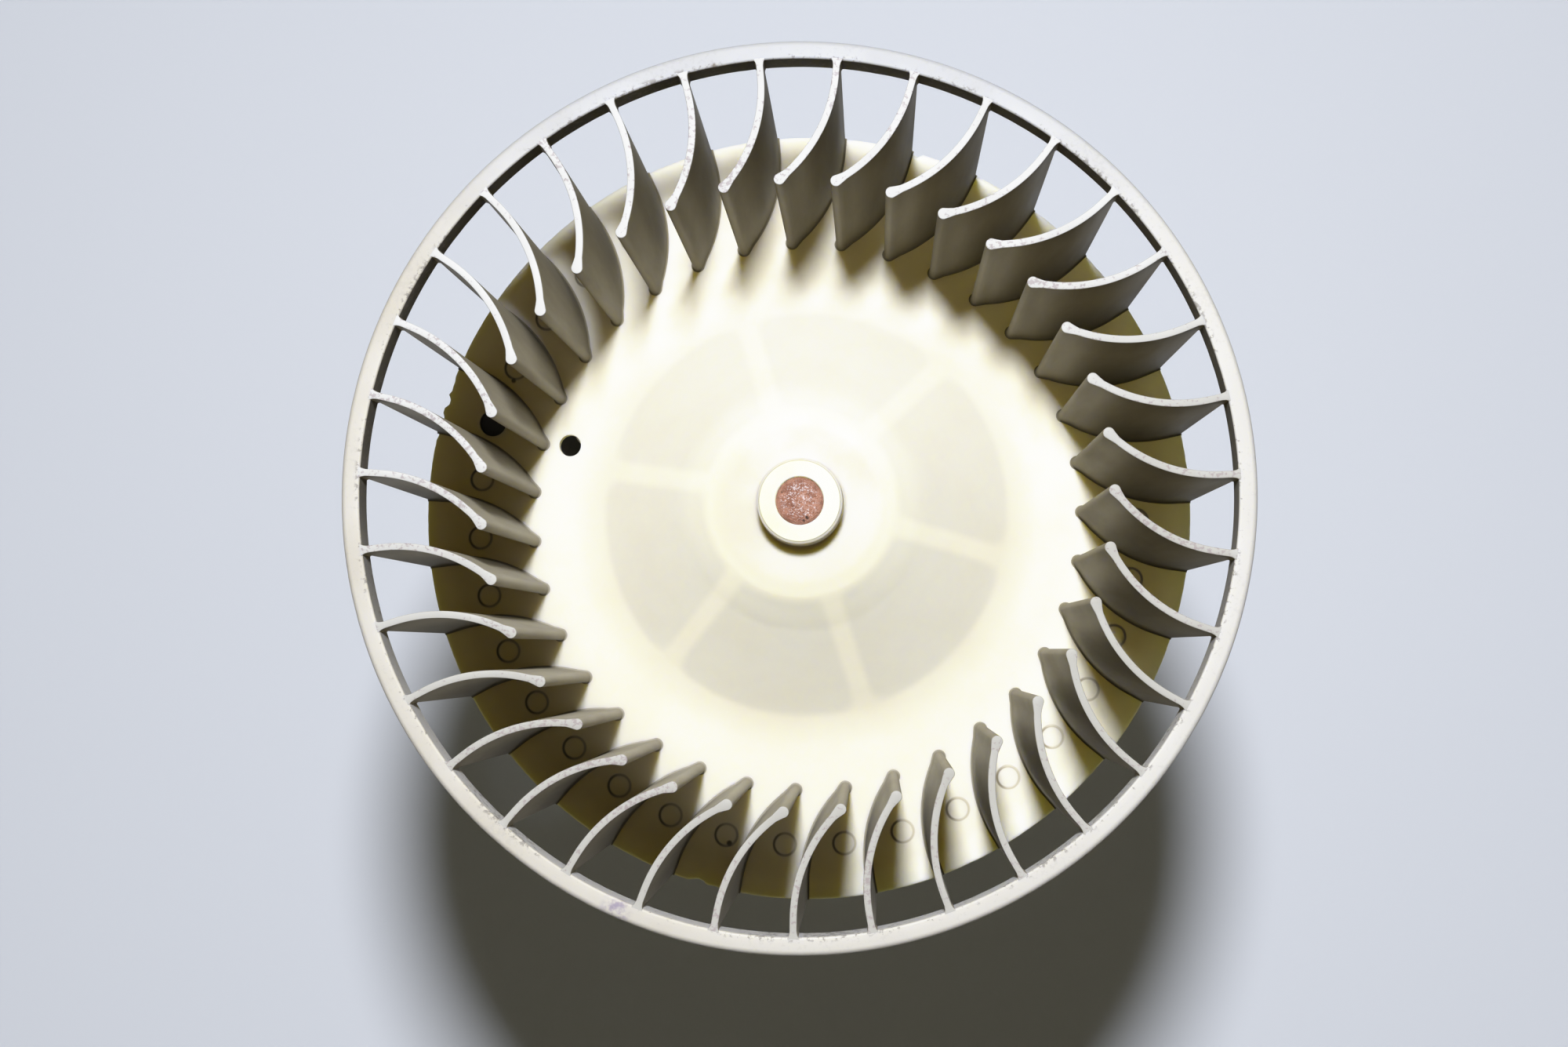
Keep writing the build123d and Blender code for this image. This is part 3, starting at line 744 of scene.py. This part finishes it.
# Geometry Nodes: copies of the object's own mesh, evenly turned about Z with a little play
def turnedCopiesTree(name):
    tree = bpy.data.node_groups.new(name, "GeometryNodeTree")
    sockets = {}
    for label, kind in (("Geometry", "Geometry"), ("Count", "Int"), ("First Angle", "Float"), ("Seed", "Int"),
                        ("Play", "Float"), ("Finish", "Material")):
        socket = tree.interface.new_socket(name=label, in_out="INPUT", socket_type="NodeSocket" + kind)
        sockets[label] = socket.identifier
    tree.interface.new_socket(name="Geometry", in_out="OUTPUT", socket_type="NodeSocketGeometry")
    source, result = tree.nodes.new("NodeGroupInput").outputs, tree.nodes.new("NodeGroupOutput").inputs
    points = tree.nodes.new("GeometryNodePoints")
    index = tree.nodes.new("GeometryNodeInputIndex")
    step = addNode(tree, "ShaderNodeMath", operation="DIVIDE")
    step.inputs[0].default_value = 2 * math.pi
    angle = addNode(tree, "ShaderNodeMath", operation="MULTIPLY_ADD")
    lowPlay = addNode(tree, "ShaderNodeMath", operation="MULTIPLY")
    lowPlay.inputs[1].default_value = -1.0
    loose = addNode(tree, "FunctionNodeRandomValue", data_type="FLOAT")
    together = addNode(tree, "ShaderNodeMath", operation="ADD")
    turn = tree.nodes.new("ShaderNodeCombineXYZ")
    toRotation = tree.nodes.new("FunctionNodeEulerToRotation")
    place = tree.nodes.new("GeometryNodeInstanceOnPoints")
    real = tree.nodes.new("GeometryNodeRealizeInstances")
    paint = tree.nodes.new("GeometryNodeSetMaterial")
    for start, node, socket in (
            (source["Count"], points, "Count"), (source["Count"], step, 1),
            (index.outputs[0], angle, 0), (step.outputs[0], angle, 1), (source["First Angle"], angle, 2),
            (source["Play"], lowPlay, 0), (lowPlay.outputs[0], loose, 2), (source["Play"], loose, 3),
            (source["Seed"], loose, "Seed"), (angle.outputs[0], together, 0), (loose.outputs[1], together, 1),
            (together.outputs[0], turn, "Z"), (turn.outputs[0], toRotation, 0),
            (points.outputs[0], place, "Points"), (source["Geometry"], place, "Instance"),
            (toRotation.outputs[0], place, "Rotation"), (place.outputs[0], real, 0),
            (real.outputs[0], paint, "Geometry"), (source["Finish"], paint, "Material")):
        wire(tree, start, node.inputs[socket])
    wire(tree, paint.outputs[0], result[0])
    return tree, sockets


# Repeat a piece round the axis with Geometry Nodes and keep the plain mesh
def turnCopies(piece, count, firstAngle, material, seed=0, play=0.0):
    tree, sockets = turnedCopiesTree(piece.name + "Copies")
    modifier = piece.modifiers.new("copies", "NODES")
    modifier.node_group = tree
    for label, value in (("Count", count), ("First Angle", math.radians(firstAngle)), ("Seed", seed),
                         ("Play", math.radians(play)), ("Finish", material)):
        modifier[sockets[label]] = value
    bake(piece)
    bpy.data.node_groups.remove(tree)


def makeBlades(material):
    piece = newObject("wheelBlades", makeBladeMesh())
    tidyMesh(piece, blades["sharp"])
    turnCopies(piece, blades["count"], blades["firstAngle"], material, blades["seed"], blades["play"])
    tidyMesh(piece, blades["sharp"], 1e-7)
    return piece


# The ejector pins' round witness marks, one in each gap but the balance pocket's
def makeMarks(material):
    profile = [Vector(((blades["markRadius"] + out) * mm, z * mm)) for out, z in blades["markProfile"]]
    mark = lathe("witnessMarks", profile, blades["markSegments"])
    shift = Vector(roundAxis(blades["markAt"] * mm, blades["markOffset"], discTop))
    for vert in mark.data.vertices:
        vert.co += shift
    tidyMesh(mark, blades["markSharp"])
    turnCopies(mark, blades["count"], blades["firstAngle"], material)
    pocket = Vector(roundAxis(wheel["pocketAt"] * mm, wheel["markAngle"], 0.0)).xy
    work = bmesh.new()
    work.from_mesh(mark.data)
    near = [v for v in work.verts if (v.co.xy - pocket).length < blades["pocketClear"] * mm]
    bmesh.ops.delete(work, geom=near, context="VERTS")
    work.to_mesh(mark.data)
    work.free()
    return mark


plastic = {
    "skinTint": (1.0, 0.88, 0.26), "ior": 1.49, "grit": 1400.0, "gritHeight": 0.05,
    "toneBand": (0.35, 0.7), "roughBand": (0.3, 0.7), "roughRise": 0.15,  # levels of the clouds
    "dustScale": 90.0, "dustUpward": -0.6, "evenBand": (0.1, 0.4),
}

discFinish = {
    "name": "ivoryDisc", "light": (0.585, 0.54, 0.415), "warm": (0.56, 0.51, 0.38), "cloud": 55.0,
    "dust": (0.38, 0.34, 0.23), "dustAmount": 0.06, "rough": 0.42, "skinShare": 0.9, "skinDepth": 5.2,
    "grain": 0.15, "evenOut": 1.9,
    "sector": (0.87, 0.88, 0.92), "sectorSoft": 0.9, "sectorCorner": 5.0,
    # hub is painted light on the hub's face, and hubEdge is painted shade along the edge of its chamfer
    "hub": (1.3, 1.3, 1.15), "hubEdge": (0.55, 0.54, 0.50), "hubEdgeBand": (0.02, 0.16),
    # tints of whole belts of the disc, each with its radii in mm: painted shade on the shoulder round the hub,
    # painted light on the bell's steep wall and at the rim, and on the outer annulus painted shade to the left
    # and painted light to the right
    "shoulder": (0.92, 0.91, 0.90), "shoulderBand": (12.5, 15.5),
    "bellTop": (1.14, 1.14, 1.12), "bellRise": (14.0, 16.5), "bellFall": (18.0, 23.0),
    "annulus": (0.82, 1.15), "annulusAcross": 60.0, "annulusBand": (46.0, 53.0),
    "rim": (1.10, 1.11, 1.18), "rimBand": (64.0, 68.0), "pocket": (0.05, 0.04, 0.02), "pocketSoft": 0.5,
    # lineDark is painted shade on the left side of each mark's line
    "line": (0.60, 0.57, 0.50), "lineDark": (0.17, 0.135, 0.07), "lineBand": (0.06, 0.38),
    "markShadeNoise": 120.0, "markShadeBand": (0.4, 2.1), "lineClear": 4.0,
    "dots": [(61.6, -103.2, 0.7), (59.7, 155.3, 0.6), (58.7, -109.0, 0.5)],  # radius, angle, reach in mm
    "dot": (0.10, 0.08, 0.05),
}

bladeFinish = {
    "name": "dustyBlades", "light": (0.33, 0.292, 0.205), "warm": (0.275, 0.24, 0.165), "cloud": 140.0,
    "drawn": (1.0, 1.0, 0.15), "dust": (0.225, 0.19, 0.13), "dustAmount": 0.35, "rough": 0.6, "shine": 0.8,
    "skinShare": 0.08, "skinDepth": 1.5, "grain": 0.08,
    # footShade is painted shade, darkening the blade walls towards their foot; shadeTone and lightTone are
    # painted shade and painted light on the walls, darker to the top and right, lighter to the lower left
    "footShade": 0.58, "footHeight": 40.0, "shadeTone": (0.84, 0.79, 0.62), "lightTone": (1.12, 1.12, 1.14),
    "sideLean": 0.8, "sideBand": (-60.0, 40.0),  # across the wheel, from its lower left, in mm
    "top": (0.335, 0.315, 0.27), "topPale": (0.47, 0.455, 0.42), "topLean": 0.3, "topBand": (-25.0, 45.0),
    "topReach": (0.35, 0.05), "speck": (0.20, 0.14, 0.14), "speckShare": 0.6,
    "specks": {"Scale": 1300.0, "Amount": 0.52, "Patches": 45.0},
}

ringFinish = {
    "name": "dustyRing", "light": (0.47, 0.435, 0.37), "warm": (0.44, 0.40, 0.33), "cloud": 60.0,
    "dust": (0.34, 0.315, 0.27), "dustAmount": 0.2, "rough": 0.55, "skinShare": 0.3, "skinDepth": 2.0,
    "grain": 0.25,
    "pale": (0.51, 0.485, 0.44), "paleBand": (-40.0, 70.0, 0.0, 0.75),  # towards the right, in mm
    "cool": (0.39, 0.385, 0.385), "coolBand": (30.0, 68.0, 0.0, 0.85),  # towards the top of the photo
    # the ring's inner wall: painted shade towards the top (inner) and painted light towards the bottom
    # (innerLit)
    "inner": (0.10, 0.09, 0.072), "innerLit": (0.46, 0.44, 0.41), "litBand": (-45.0, 10.0, 1.0, 0.0),
    "innerBand": (0.2, 0.5, 1.0, 0.0), "underTop": (0.6, 0.2),
    "speck": (0.17, 0.15, 0.13), "speckBand": (0.3, 1.0, 0.75, 0.08),
    "specks": {"Scale": 1200.0, "Amount": 0.5, "Patches": 70.0},
    "patch": 700.0, "patchBand": (0.4, 0.65),
    "smudges": [((-28.3, -65.6), 3.2, (0.26, 0.22, 0.26)), ((-13.1, 68.7), 0.8, (0.14, 0.11, 0.08))],
}


# A soft spot round a place in mm
def nearPlace(tree, place, centre, reach, soft):
    apart = vectorMath(tree, "DISTANCE", place, [v * mm for v in centre]).outputs["Value"]
    return rampAlong(tree, apart, reach - soft, reach, 1.0, 0.0)


# Slopes that face up shade more like the flat, because the light spreads inside the plastic
def evenNormal(tree, amount):
    normal = addNode(tree, "ShaderNodeNewGeometry").outputs["Normal"]
    lift = addNode(tree, "ShaderNodeCombineXYZ")
    wire(tree, ramp(tree, partsOf(tree, normal)["Z"], *plastic["evenBand"], 0.0, amount), lift.inputs["Z"])
    total = vectorMath(tree, "ADD", normal, lift.outputs[0])
    return vectorMath(tree, "NORMALIZE", total.outputs[0]).outputs[0]


# The moulding's plastic: two cloudy tones under uneven dust, letting a little light through
def startPlastic(finish):
    material, tree, shader = newMaterial(finish["name"])
    place = objectPlace(tree)
    drawn = vectorMath(tree, "MULTIPLY", place, finish.get("drawn", (1.0, 1.0, 1.0))).outputs[0]
    cloud = noiseAt(tree, drawn, finish["cloud"], 5.0)
    color = mixColor(tree, ramp(tree, cloud, *plastic["toneBand"]), finish["light"], finish["warm"])
    amount, rough = finish["dustAmount"], finish["rough"]
    dust = useGroup(tree, dustMask, Place=drawn, Scale=plastic["dustScale"], Amount=amount,
                    Upward=amount * plastic["dustUpward"])["Mask"]
    color = mixColor(tree, dust, color, finish["dust"])
    wire(tree, ramp(tree, cloud, *plastic["roughBand"], rough, rough + plastic["roughRise"]),
         shader.inputs["Roughness"])
    for label, value in (("Subsurface Weight", finish["skinShare"]), ("Subsurface Radius", plastic["skinTint"]),
                         ("Subsurface Scale", finish["skinDepth"] * mm), ("IOR", plastic["ior"]),
                         ("Specular IOR Level", finish.get("shine", 0.5))):
        shader.inputs[label].default_value = value
    normal = evenNormal(tree, finish["evenOut"]) if "evenOut" in finish else None
    grit = noiseAt(tree, place, plastic["grit"], 3.0)
    bump(tree, grit, finish["grain"], plastic["gritHeight"], shader, normal)
    return material, tree, shader, place, color


# 1 inside the disc's thin sectors
def sectorPaint(tree, place):
    half = 180 / wheel["sectors"]
    fold = useGroup(tree, foldedPlace, Place=place, Count=float(wheel["sectors"]),
                    First=math.radians(wheel["sectorAngle"] + half))
    across = math2(tree, "MULTIPLY", math2(tree, "ABSOLUTE", fold["Across"]), math.cos(math.radians(half)))
    fromRib = math2(tree, "MULTIPLY", fold["Along"], math.sin(math.radians(half)))
    fromRib = math2(tree, "SUBTRACT", math2(tree, "SUBTRACT", fromRib, across), wheel["sectorRib"] / 2)
    fromOut = math2(tree, "SUBTRACT", wheel["sectorOuter"], fold["Radius"])
    fromIn = math2(tree, "SUBTRACT", fold["Radius"], wheel["sectorInner"])
    corner, soft = discFinish["sectorCorner"], discFinish["sectorSoft"]
    edge = math2(tree, "SMOOTH_MIN", fromRib, fromOut, corner)
    edge = math2(tree, "SMOOTH_MIN", edge, fromIn, corner / 2)
    return ramp(tree, edge, -soft, soft)


# The lines of the ejector pins' round marks, and painted shade on the left side of each, broken up by noise
def markPaint(tree, place):
    fold = useGroup(tree, foldedPlace, Place=place, Count=float(blades["count"]),
                    First=math.radians(blades["firstAngle"] + blades["markOffset"]))
    out = math2(tree, "SUBTRACT", fold["Along"], blades["markAt"])
    apart = math2(tree, "SUBTRACT", lengthOf(tree, out, fold["Across"]), blades["markRadius"])
    line = ramp(tree, math2(tree, "ABSOLUTE", apart), *discFinish["lineBand"], 1.0, 0.0)
    left = math2(tree, "SUBTRACT", math2(tree, "MULTIPLY", fold["Across"], math2(tree, "SINE", fold["Turn"])),
                 math2(tree, "MULTIPLY", out, math2(tree, "COSINE", fold["Turn"])))
    left = math2(tree, "ADD", left, noiseAt(tree, place, discFinish["markShadeNoise"], 1.0))
    pocket = roundAxis(wheel["pocketAt"], wheel["markAngle"], discTop / mm)
    onPocket = nearPlace(tree, place, pocket, discFinish["lineClear"], discFinish["pocketSoft"])
    clear = math2(tree, "SUBTRACT", 1.0, onPocket)
    return math2(tree, "MULTIPLY", line, clear), ramp(tree, left, *discFinish["markShadeBand"])


def makeDiscFinish():
    material, tree, shader, place, color = startPlastic(discFinish)
    color = tinted(tree, sectorPaint(tree, place), color, discFinish["sector"])
    line, paintedMarkShade = markPaint(tree, place)
    # Each mark's line, darkened on its left side by painted shade
    lineTone = mixColor(tree, 1.0, color, discFinish["line"], "MULTIPLY")
    color = mixColor(tree, line, color, mixColor(tree, paintedMarkShade, lineTone, discFinish["lineDark"]))
    radius = radiusAt(tree, place)
    # Painted light on the hub's face, and painted shade along the edge of its chamfer
    face = wheel["hubRadius"] - wheel["hubChamfer"]
    color = tinted(tree, ramp(tree, radius, face - 0.1, face, 1.0, 0.0), color, discFinish["hub"])
    fromEdge = math2(tree, "ABSOLUTE", math2(tree, "SUBTRACT", radius, face))
    edge = ramp(tree, fromEdge, *discFinish["hubEdgeBand"], 1.0, 0.0)
    color = tinted(tree, edge, color, discFinish["hubEdge"])
    # Painted light at the rim
    color = tinted(tree, ramp(tree, radius, *discFinish["rimBand"]), color, discFinish["rim"])
    # Painted shade on the shoulder round the hub
    paintedShoulderShade = ramp(tree, radius, *discFinish["shoulderBand"], 1.0, 0.0)
    color = tinted(tree, paintedShoulderShade, color, discFinish["shoulder"])
    # Painted light on the bell's steep wall, which the lamp lights less
    paintedBellLight = math2(tree, "MULTIPLY", ramp(tree, radius, *discFinish["bellRise"]),
                   ramp(tree, radius, *discFinish["bellFall"], 1.0, 0.0))
    color = tinted(tree, paintedBellLight, color, discFinish["bellTop"])
    # Painted shade on the outer annulus to the left, and painted light on it to the right
    across = discFinish["annulusAcross"]
    wearAndPaintedLightAndShade = rampAlong(tree, partsOf(tree, place)["X"], -across, across, *discFinish["annulus"])
    color = tinted(tree, ramp(tree, radius, *discFinish["annulusBand"]), color, greyOf(tree, wearAndPaintedLightAndShade))
    soft = discFinish["pocketSoft"]
    # The balance pocket's floor is darkened
    pocketFloor = roundAxis(wheel["pocketAt"], wheel["markAngle"], discTop / mm - wheel["pocketDepth"])
    pocket = nearPlace(tree, place, pocketFloor, wheel["pocketRadius"] + soft, soft)
    color = mixColor(tree, pocket, color, discFinish["pocket"])
    opaque = math2(tree, "MAXIMUM", pocket, line)  # no light passes through the pocket's dark floor or the lines
    wire(tree, ramp(tree, opaque, 0.0, 1.0, discFinish["skinShare"], 0.0), shader.inputs["Subsurface Weight"])
    for distance, angle, reach in discFinish["dots"]:
        dot = nearPlace(tree, place, roundAxis(distance, angle, discTop / mm), reach, reach * 0.6)
        color = mixColor(tree, dot, color, discFinish["dot"])
    wire(tree, color, shader.inputs["Base Color"])
    return material


def makeBladeFinish():
    material, tree, shader, place, color = startPlastic(bladeFinish)
    x, y, z = partsOf(tree, place)
    foot, top = discTop / mm, wheelTop / mm
    # Painted shade: the walls are darkened towards their foot
    shade = rampAlong(tree, z, foot, foot + bladeFinish["footHeight"], bladeFinish["footShade"], 1.0, False)
    color = mixColor(tree, 1.0, color, greyOf(tree, shade), "MULTIPLY")
    # Painted light and painted shade: the walls towards the lower left are lightened, and those towards the top
    # and right are darkened and warmed
    fromCorner = math2(tree, "ADD", math2(tree, "MULTIPLY", x, bladeFinish["sideLean"]), y)
    leftward = rampAlong(tree, fromCorner, *bladeFinish["sideBand"], 1.0, 0.0)
    paintedSideLightAndShade = mixColor(tree, leftward, bladeFinish["shadeTone"], bladeFinish["lightTone"])
    color = mixColor(tree, 1.0, color, paintedSideLightAndShade, "MULTIPLY")
    upward = math2(tree, "SUBTRACT", y, math2(tree, "MULTIPLY", x, bladeFinish["topLean"]))
    topTone = mixColor(tree, rampAlong(tree, upward, *bladeFinish["topBand"]), bladeFinish["top"],
                       bladeFinish["topPale"])
    specks = useGroup(tree, speckMask, Place=place, **bladeFinish["specks"])["Mask"]
    specks = math2(tree, "MULTIPLY", specks, bladeFinish["speckShare"])
    topTone = mixColor(tree, specks, topTone, bladeFinish["speck"])
    start, end = bladeFinish["topReach"]
    color = mixColor(tree, rampAlong(tree, z, top - start, top - end), color, topTone)
    wire(tree, color, shader.inputs["Base Color"])
    return material


def makeRingFinish():
    material, tree, shader, place, color = startPlastic(ringFinish)
    x, y, z = partsOf(tree, place)
    color = mixColor(tree, rampAlong(tree, x, *ringFinish["paleBand"]), color, ringFinish["pale"])
    color = mixColor(tree, rampAlong(tree, y, *ringFinish["coolBand"]), color, ringFinish["cool"])
    top, (start, end) = wheelTop / mm, ringFinish["underTop"]
    below = rampAlong(tree, z, top - start, top - end, 1.0, 0.0)
    # Painted shade on the ring's inner wall towards the top, and painted light on it towards the bottom
    fromInside = math2(tree, "SUBTRACT", radiusAt(tree, place), wheel["ringInner"])
    inside = ramp(tree, fromInside, *ringFinish["innerBand"])
    lower = rampAlong(tree, y, *ringFinish["litBand"])
    innerWallLightAndShade = mixColor(tree, lower, ringFinish["inner"], ringFinish["innerLit"])
    color = mixColor(tree, math2(tree, "MULTIPLY", below, inside), color, innerWallLightAndShade)
    specks = useGroup(tree, speckMask, Place=place, **ringFinish["specks"])["Mask"]
    specks = math2(tree, "MULTIPLY", specks, ramp(tree, fromInside, *ringFinish["speckBand"]))
    color = mixColor(tree, specks, color, ringFinish["speck"])
    patchy = ramp(tree, noiseAt(tree, place, ringFinish["patch"], 4.0), *ringFinish["patchBand"])
    for (atX, atY), reach, tint in ringFinish["smudges"]:
        spot = nearPlace(tree, place, (atX, atY, wheelTop / mm), reach, reach * 0.75)
        color = mixColor(tree, math2(tree, "MULTIPLY", spot, patchy), color, tint)
    wire(tree, color, shader.inputs["Base Color"])
    return material


def makeWheel(floorKey):
    discPiece = makeDisc()
    discPaint = makeDiscFinish()
    joinPiece(discPiece, makeMarks(discPaint))
    discPiece.data.materials.clear()
    discPiece.data.materials.append(discPaint)
    ringPiece = makeRing()
    ringPiece.data.materials.append(makeRingFinish())
    bladePiece = makeBlades(makeBladeFinish())
    floorKey.light_linking.blocker_collection = onlyOrNot("notOpenwork", [bladePiece, ringPiece], "EXCLUDE")
    for piece, node in ((discPiece, "wheel_disc"), (ringPiece, "wheel_ring"), (bladePiece, "wheel_blades")):
        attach(piece, "rotor")
        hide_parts(node)
    print("wheel made", len(discPiece.data.polygons), len(bladePiece.data.polygons))


# The motor's finishes

# Two tones, metal share, least and most roughness, scales of clouds and grain, and the grain's strength
finishes = {
    "can_steel": ((0.018, 0.018, 0.019), (0.035, 0.034, 0.033), 0.0, 0.35, 0.55, 30.0, 500.0, 0.12),
    "plated_steel": ((0.5, 0.49, 0.44), (0.36, 0.36, 0.34), 0.9, 0.35, 0.6, 45.0, 800.0, 0.1),
    "screw_steel": ((0.52, 0.52, 0.5), (0.33, 0.32, 0.3), 0.95, 0.3, 0.5, 200.0, 1200.0, 0.1),
    "grommet_rubber": ((0.03, 0.03, 0.028), (0.1, 0.09, 0.07), 0.0, 0.6, 0.85, 120.0, 1500.0, 0.2),
    "black_plastic": ((0.017, 0.017, 0.018), (0.03, 0.03, 0.03), 0.0, 0.45, 0.6, 100.0, 1800.0, 0.2),
    "brass": ((0.62, 0.44, 0.18), (0.42, 0.3, 0.14), 1.0, 0.25, 0.45, 120.0, 1500.0, 0.08),
    "bronze": ((0.4, 0.27, 0.13), (0.25, 0.17, 0.09), 1.0, 0.4, 0.6, 200.0, 2000.0, 0.15),
    "copper": ((0.5, 0.2, 0.09), (0.36, 0.13, 0.06), 0.9, 0.3, 0.5, 200.0, 1200.0, 0.2),
    "lamination_steel": ((0.16, 0.16, 0.165), (0.1, 0.1, 0.1), 0.9, 0.4, 0.6, 100.0, 1500.0, 0.1),
    "fibre": ((0.14, 0.075, 0.04), (0.2, 0.12, 0.07), 0.0, 0.6, 0.8, 150.0, 900.0, 0.2),
    "phenolic": ((0.09, 0.045, 0.025), (0.13, 0.07, 0.04), 0.0, 0.35, 0.5, 150.0, 900.0, 0.1),
    "spring_steel": ((0.33, 0.33, 0.34), (0.22, 0.22, 0.22), 1.0, 0.2, 0.4, 150.0, 1500.0, 0.05),
    "felt": ((0.35, 0.3, 0.21), (0.24, 0.2, 0.14), 0.0, 0.85, 0.95, 300.0, 1800.0, 0.5),
    "ferrite": ((0.035, 0.035, 0.037), (0.055, 0.055, 0.058), 0.0, 0.4, 0.6, 80.0, 900.0, 0.1),
    "carbon": ((0.02, 0.02, 0.02), (0.04, 0.04, 0.04), 0.0, 0.5, 0.7, 200.0, 2000.0, 0.1),
}


# A plain two-tone finish with fine grain, from the slot's row in finishes
def makeFinish(slot):
    tone, otherTone, metal, smooth, rough, scale, grit, strength = finishes[slot]
    material, tree, shader = newMaterial(slot + "Finish")
    place = objectPlace(tree)
    cloud = noiseAt(tree, place, scale, 5.0)
    color = mixColor(tree, ramp(tree, cloud, *plastic["toneBand"]), tone, otherTone)
    wire(tree, color, shader.inputs["Base Color"])
    wire(tree, ramp(tree, cloud, *plastic["roughBand"], smooth, rough), shader.inputs["Roughness"])
    shader.inputs["Metallic"].default_value = metal
    bump(tree, noiseAt(tree, place, grit, 3.0), strength, 0.08, shader)
    return material


rust = {
    "dark": (0.27, 0.11, 0.065), "mid": (0.46, 0.22, 0.14), "bright": (0.74, 0.61, 0.58),
    "scale": 3400.0, "patch": 420.0, "cells": 1.6, "patchBand": (0.35, 0.65), "brightBand": (0.50, 0.64),
    "grainReach": (2.6, 3.5), "rimGrains": 0.15,  # radii in mm, and the share of bright grains beyond
    "pits": [((1.3, -2.8), 0.5), ((0.7, -3.3), 0.35), ((-2.9, 1.5), 0.3)],  # places and reaches in mm
    "pit": (0.06, 0.03, 0.02), "pitBand": (0.4, 0.55),
    "metalBand": (0.5, 0.9, 0.0, 0.5), "roughBand": (0.3, 0.7, 0.35, 0.8), "bump": 0.9, "bumpHeight": 0.25,
}


# Coarse red-brown rust with bright grains
def makeRust():
    material, tree, shader = newMaterial("rustySteel")
    place = objectPlace(tree)
    patch = noiseAt(tree, place, rust["patch"], 5.0, 0.65)
    grain = noiseAt(tree, place, rust["scale"], 4.0, 0.7)
    cells = addNode(tree, "ShaderNodeTexVoronoi")
    cells.inputs["Scale"].default_value = rust["scale"] * rust["cells"]
    wire(tree, place, cells.inputs["Vector"])
    color = mixColor(tree, ramp(tree, patch, *rust["patchBand"]), rust["dark"], rust["mid"])
    inside = ramp(tree, radiusAt(tree, place), *rust["grainReach"], 1.0, rust["rimGrains"])
    bright = math2(tree, "MULTIPLY", ramp(tree, grain, *rust["brightBand"]), inside)
    color = mixColor(tree, bright, color, rust["bright"])
    for (x, y), reach in rust["pits"]:
        spot = nearPlace(tree, place, (x, y, discTop / mm + wheel["hubTop"]), reach, reach * 0.5)
        spot = math2(tree, "MULTIPLY", spot, ramp(tree, grain, *rust["pitBand"]))
        color = mixColor(tree, spot, color, rust["pit"])
    wire(tree, color, shader.inputs["Base Color"])
    wire(tree, ramp(tree, cells.outputs["Color"], *rust["metalBand"]), shader.inputs["Metallic"])
    wire(tree, ramp(tree, grain, *rust["roughBand"]), shader.inputs["Roughness"])
    bump(tree, math2(tree, "ADD", grain, cells.outputs["Distance"]), rust["bump"], rust["bumpHeight"], shader)
    return material


shaftEnd = {
    "radius": 3.97, "chamfer": 0.4, "proud": 0.1, "overlap": 0.3, "step": 0.2,  # mm
    "segments": 96, "sharp": 60, "grit": 2600.0, "gritHeight": 0.07,
}


# The rough end of the shaft, a hair proud of the hub
def makeShaftEnd(material):
    top = discTop / mm + wheel["hubTop"] + shaftEnd["proud"]
    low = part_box("motor_shaft")[1][2] / mm - shaftEnd["overlap"]
    radius, cut = shaftEnd["radius"], shaftEnd["chamfer"]
    line = roundedLine([(0.0, top), (radius - cut, top), (radius, top - cut), (radius, low), (0.0, low)],
                       [0.3, 0.1, 0.0], 5)
    outline = [p * mm for p in spread(line, shaftEnd["step"])]
    piece = lathe("shaftEnd", outline, shaftEnd["segments"], False)
    for vert in piece.data.vertices:
        if vert.co.z > (top - cut) * mm:
            vert.co.z += noise.noise(vert.co * shaftEnd["grit"]) * shaftEnd["gritHeight"] * mm
    tidyMesh(piece, shaftEnd["sharp"])
    piece.data.materials.append(material)
    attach(piece, "rotor")
    print("shaft end made", len(piece.data.polygons))


# Give each CAD node of the motor its finish, and hand the finishes back by slot
def dressMotor():
    made = {}
    for row in frame["record"]["subparts"]:
        slotName = row["material_slot"]
        if slotName == "wheel_plastic":
            continue
        if slotName not in made:
            made[slotName] = makeRust() if slotName == "shaft_steel" else makeFinish(slotName)
        piece = frame["nodes"][row["node"]]
        piece.data.materials.clear()
        piece.data.materials.append(made[slotName])
    print("motor dressed", len(made), "finishes")
    return made


setView()
floorKey = setStudio()
makeWheel(floorKey)
motorFinishes = dressMotor()
makeShaftEnd(motorFinishes["shaft_steel"])
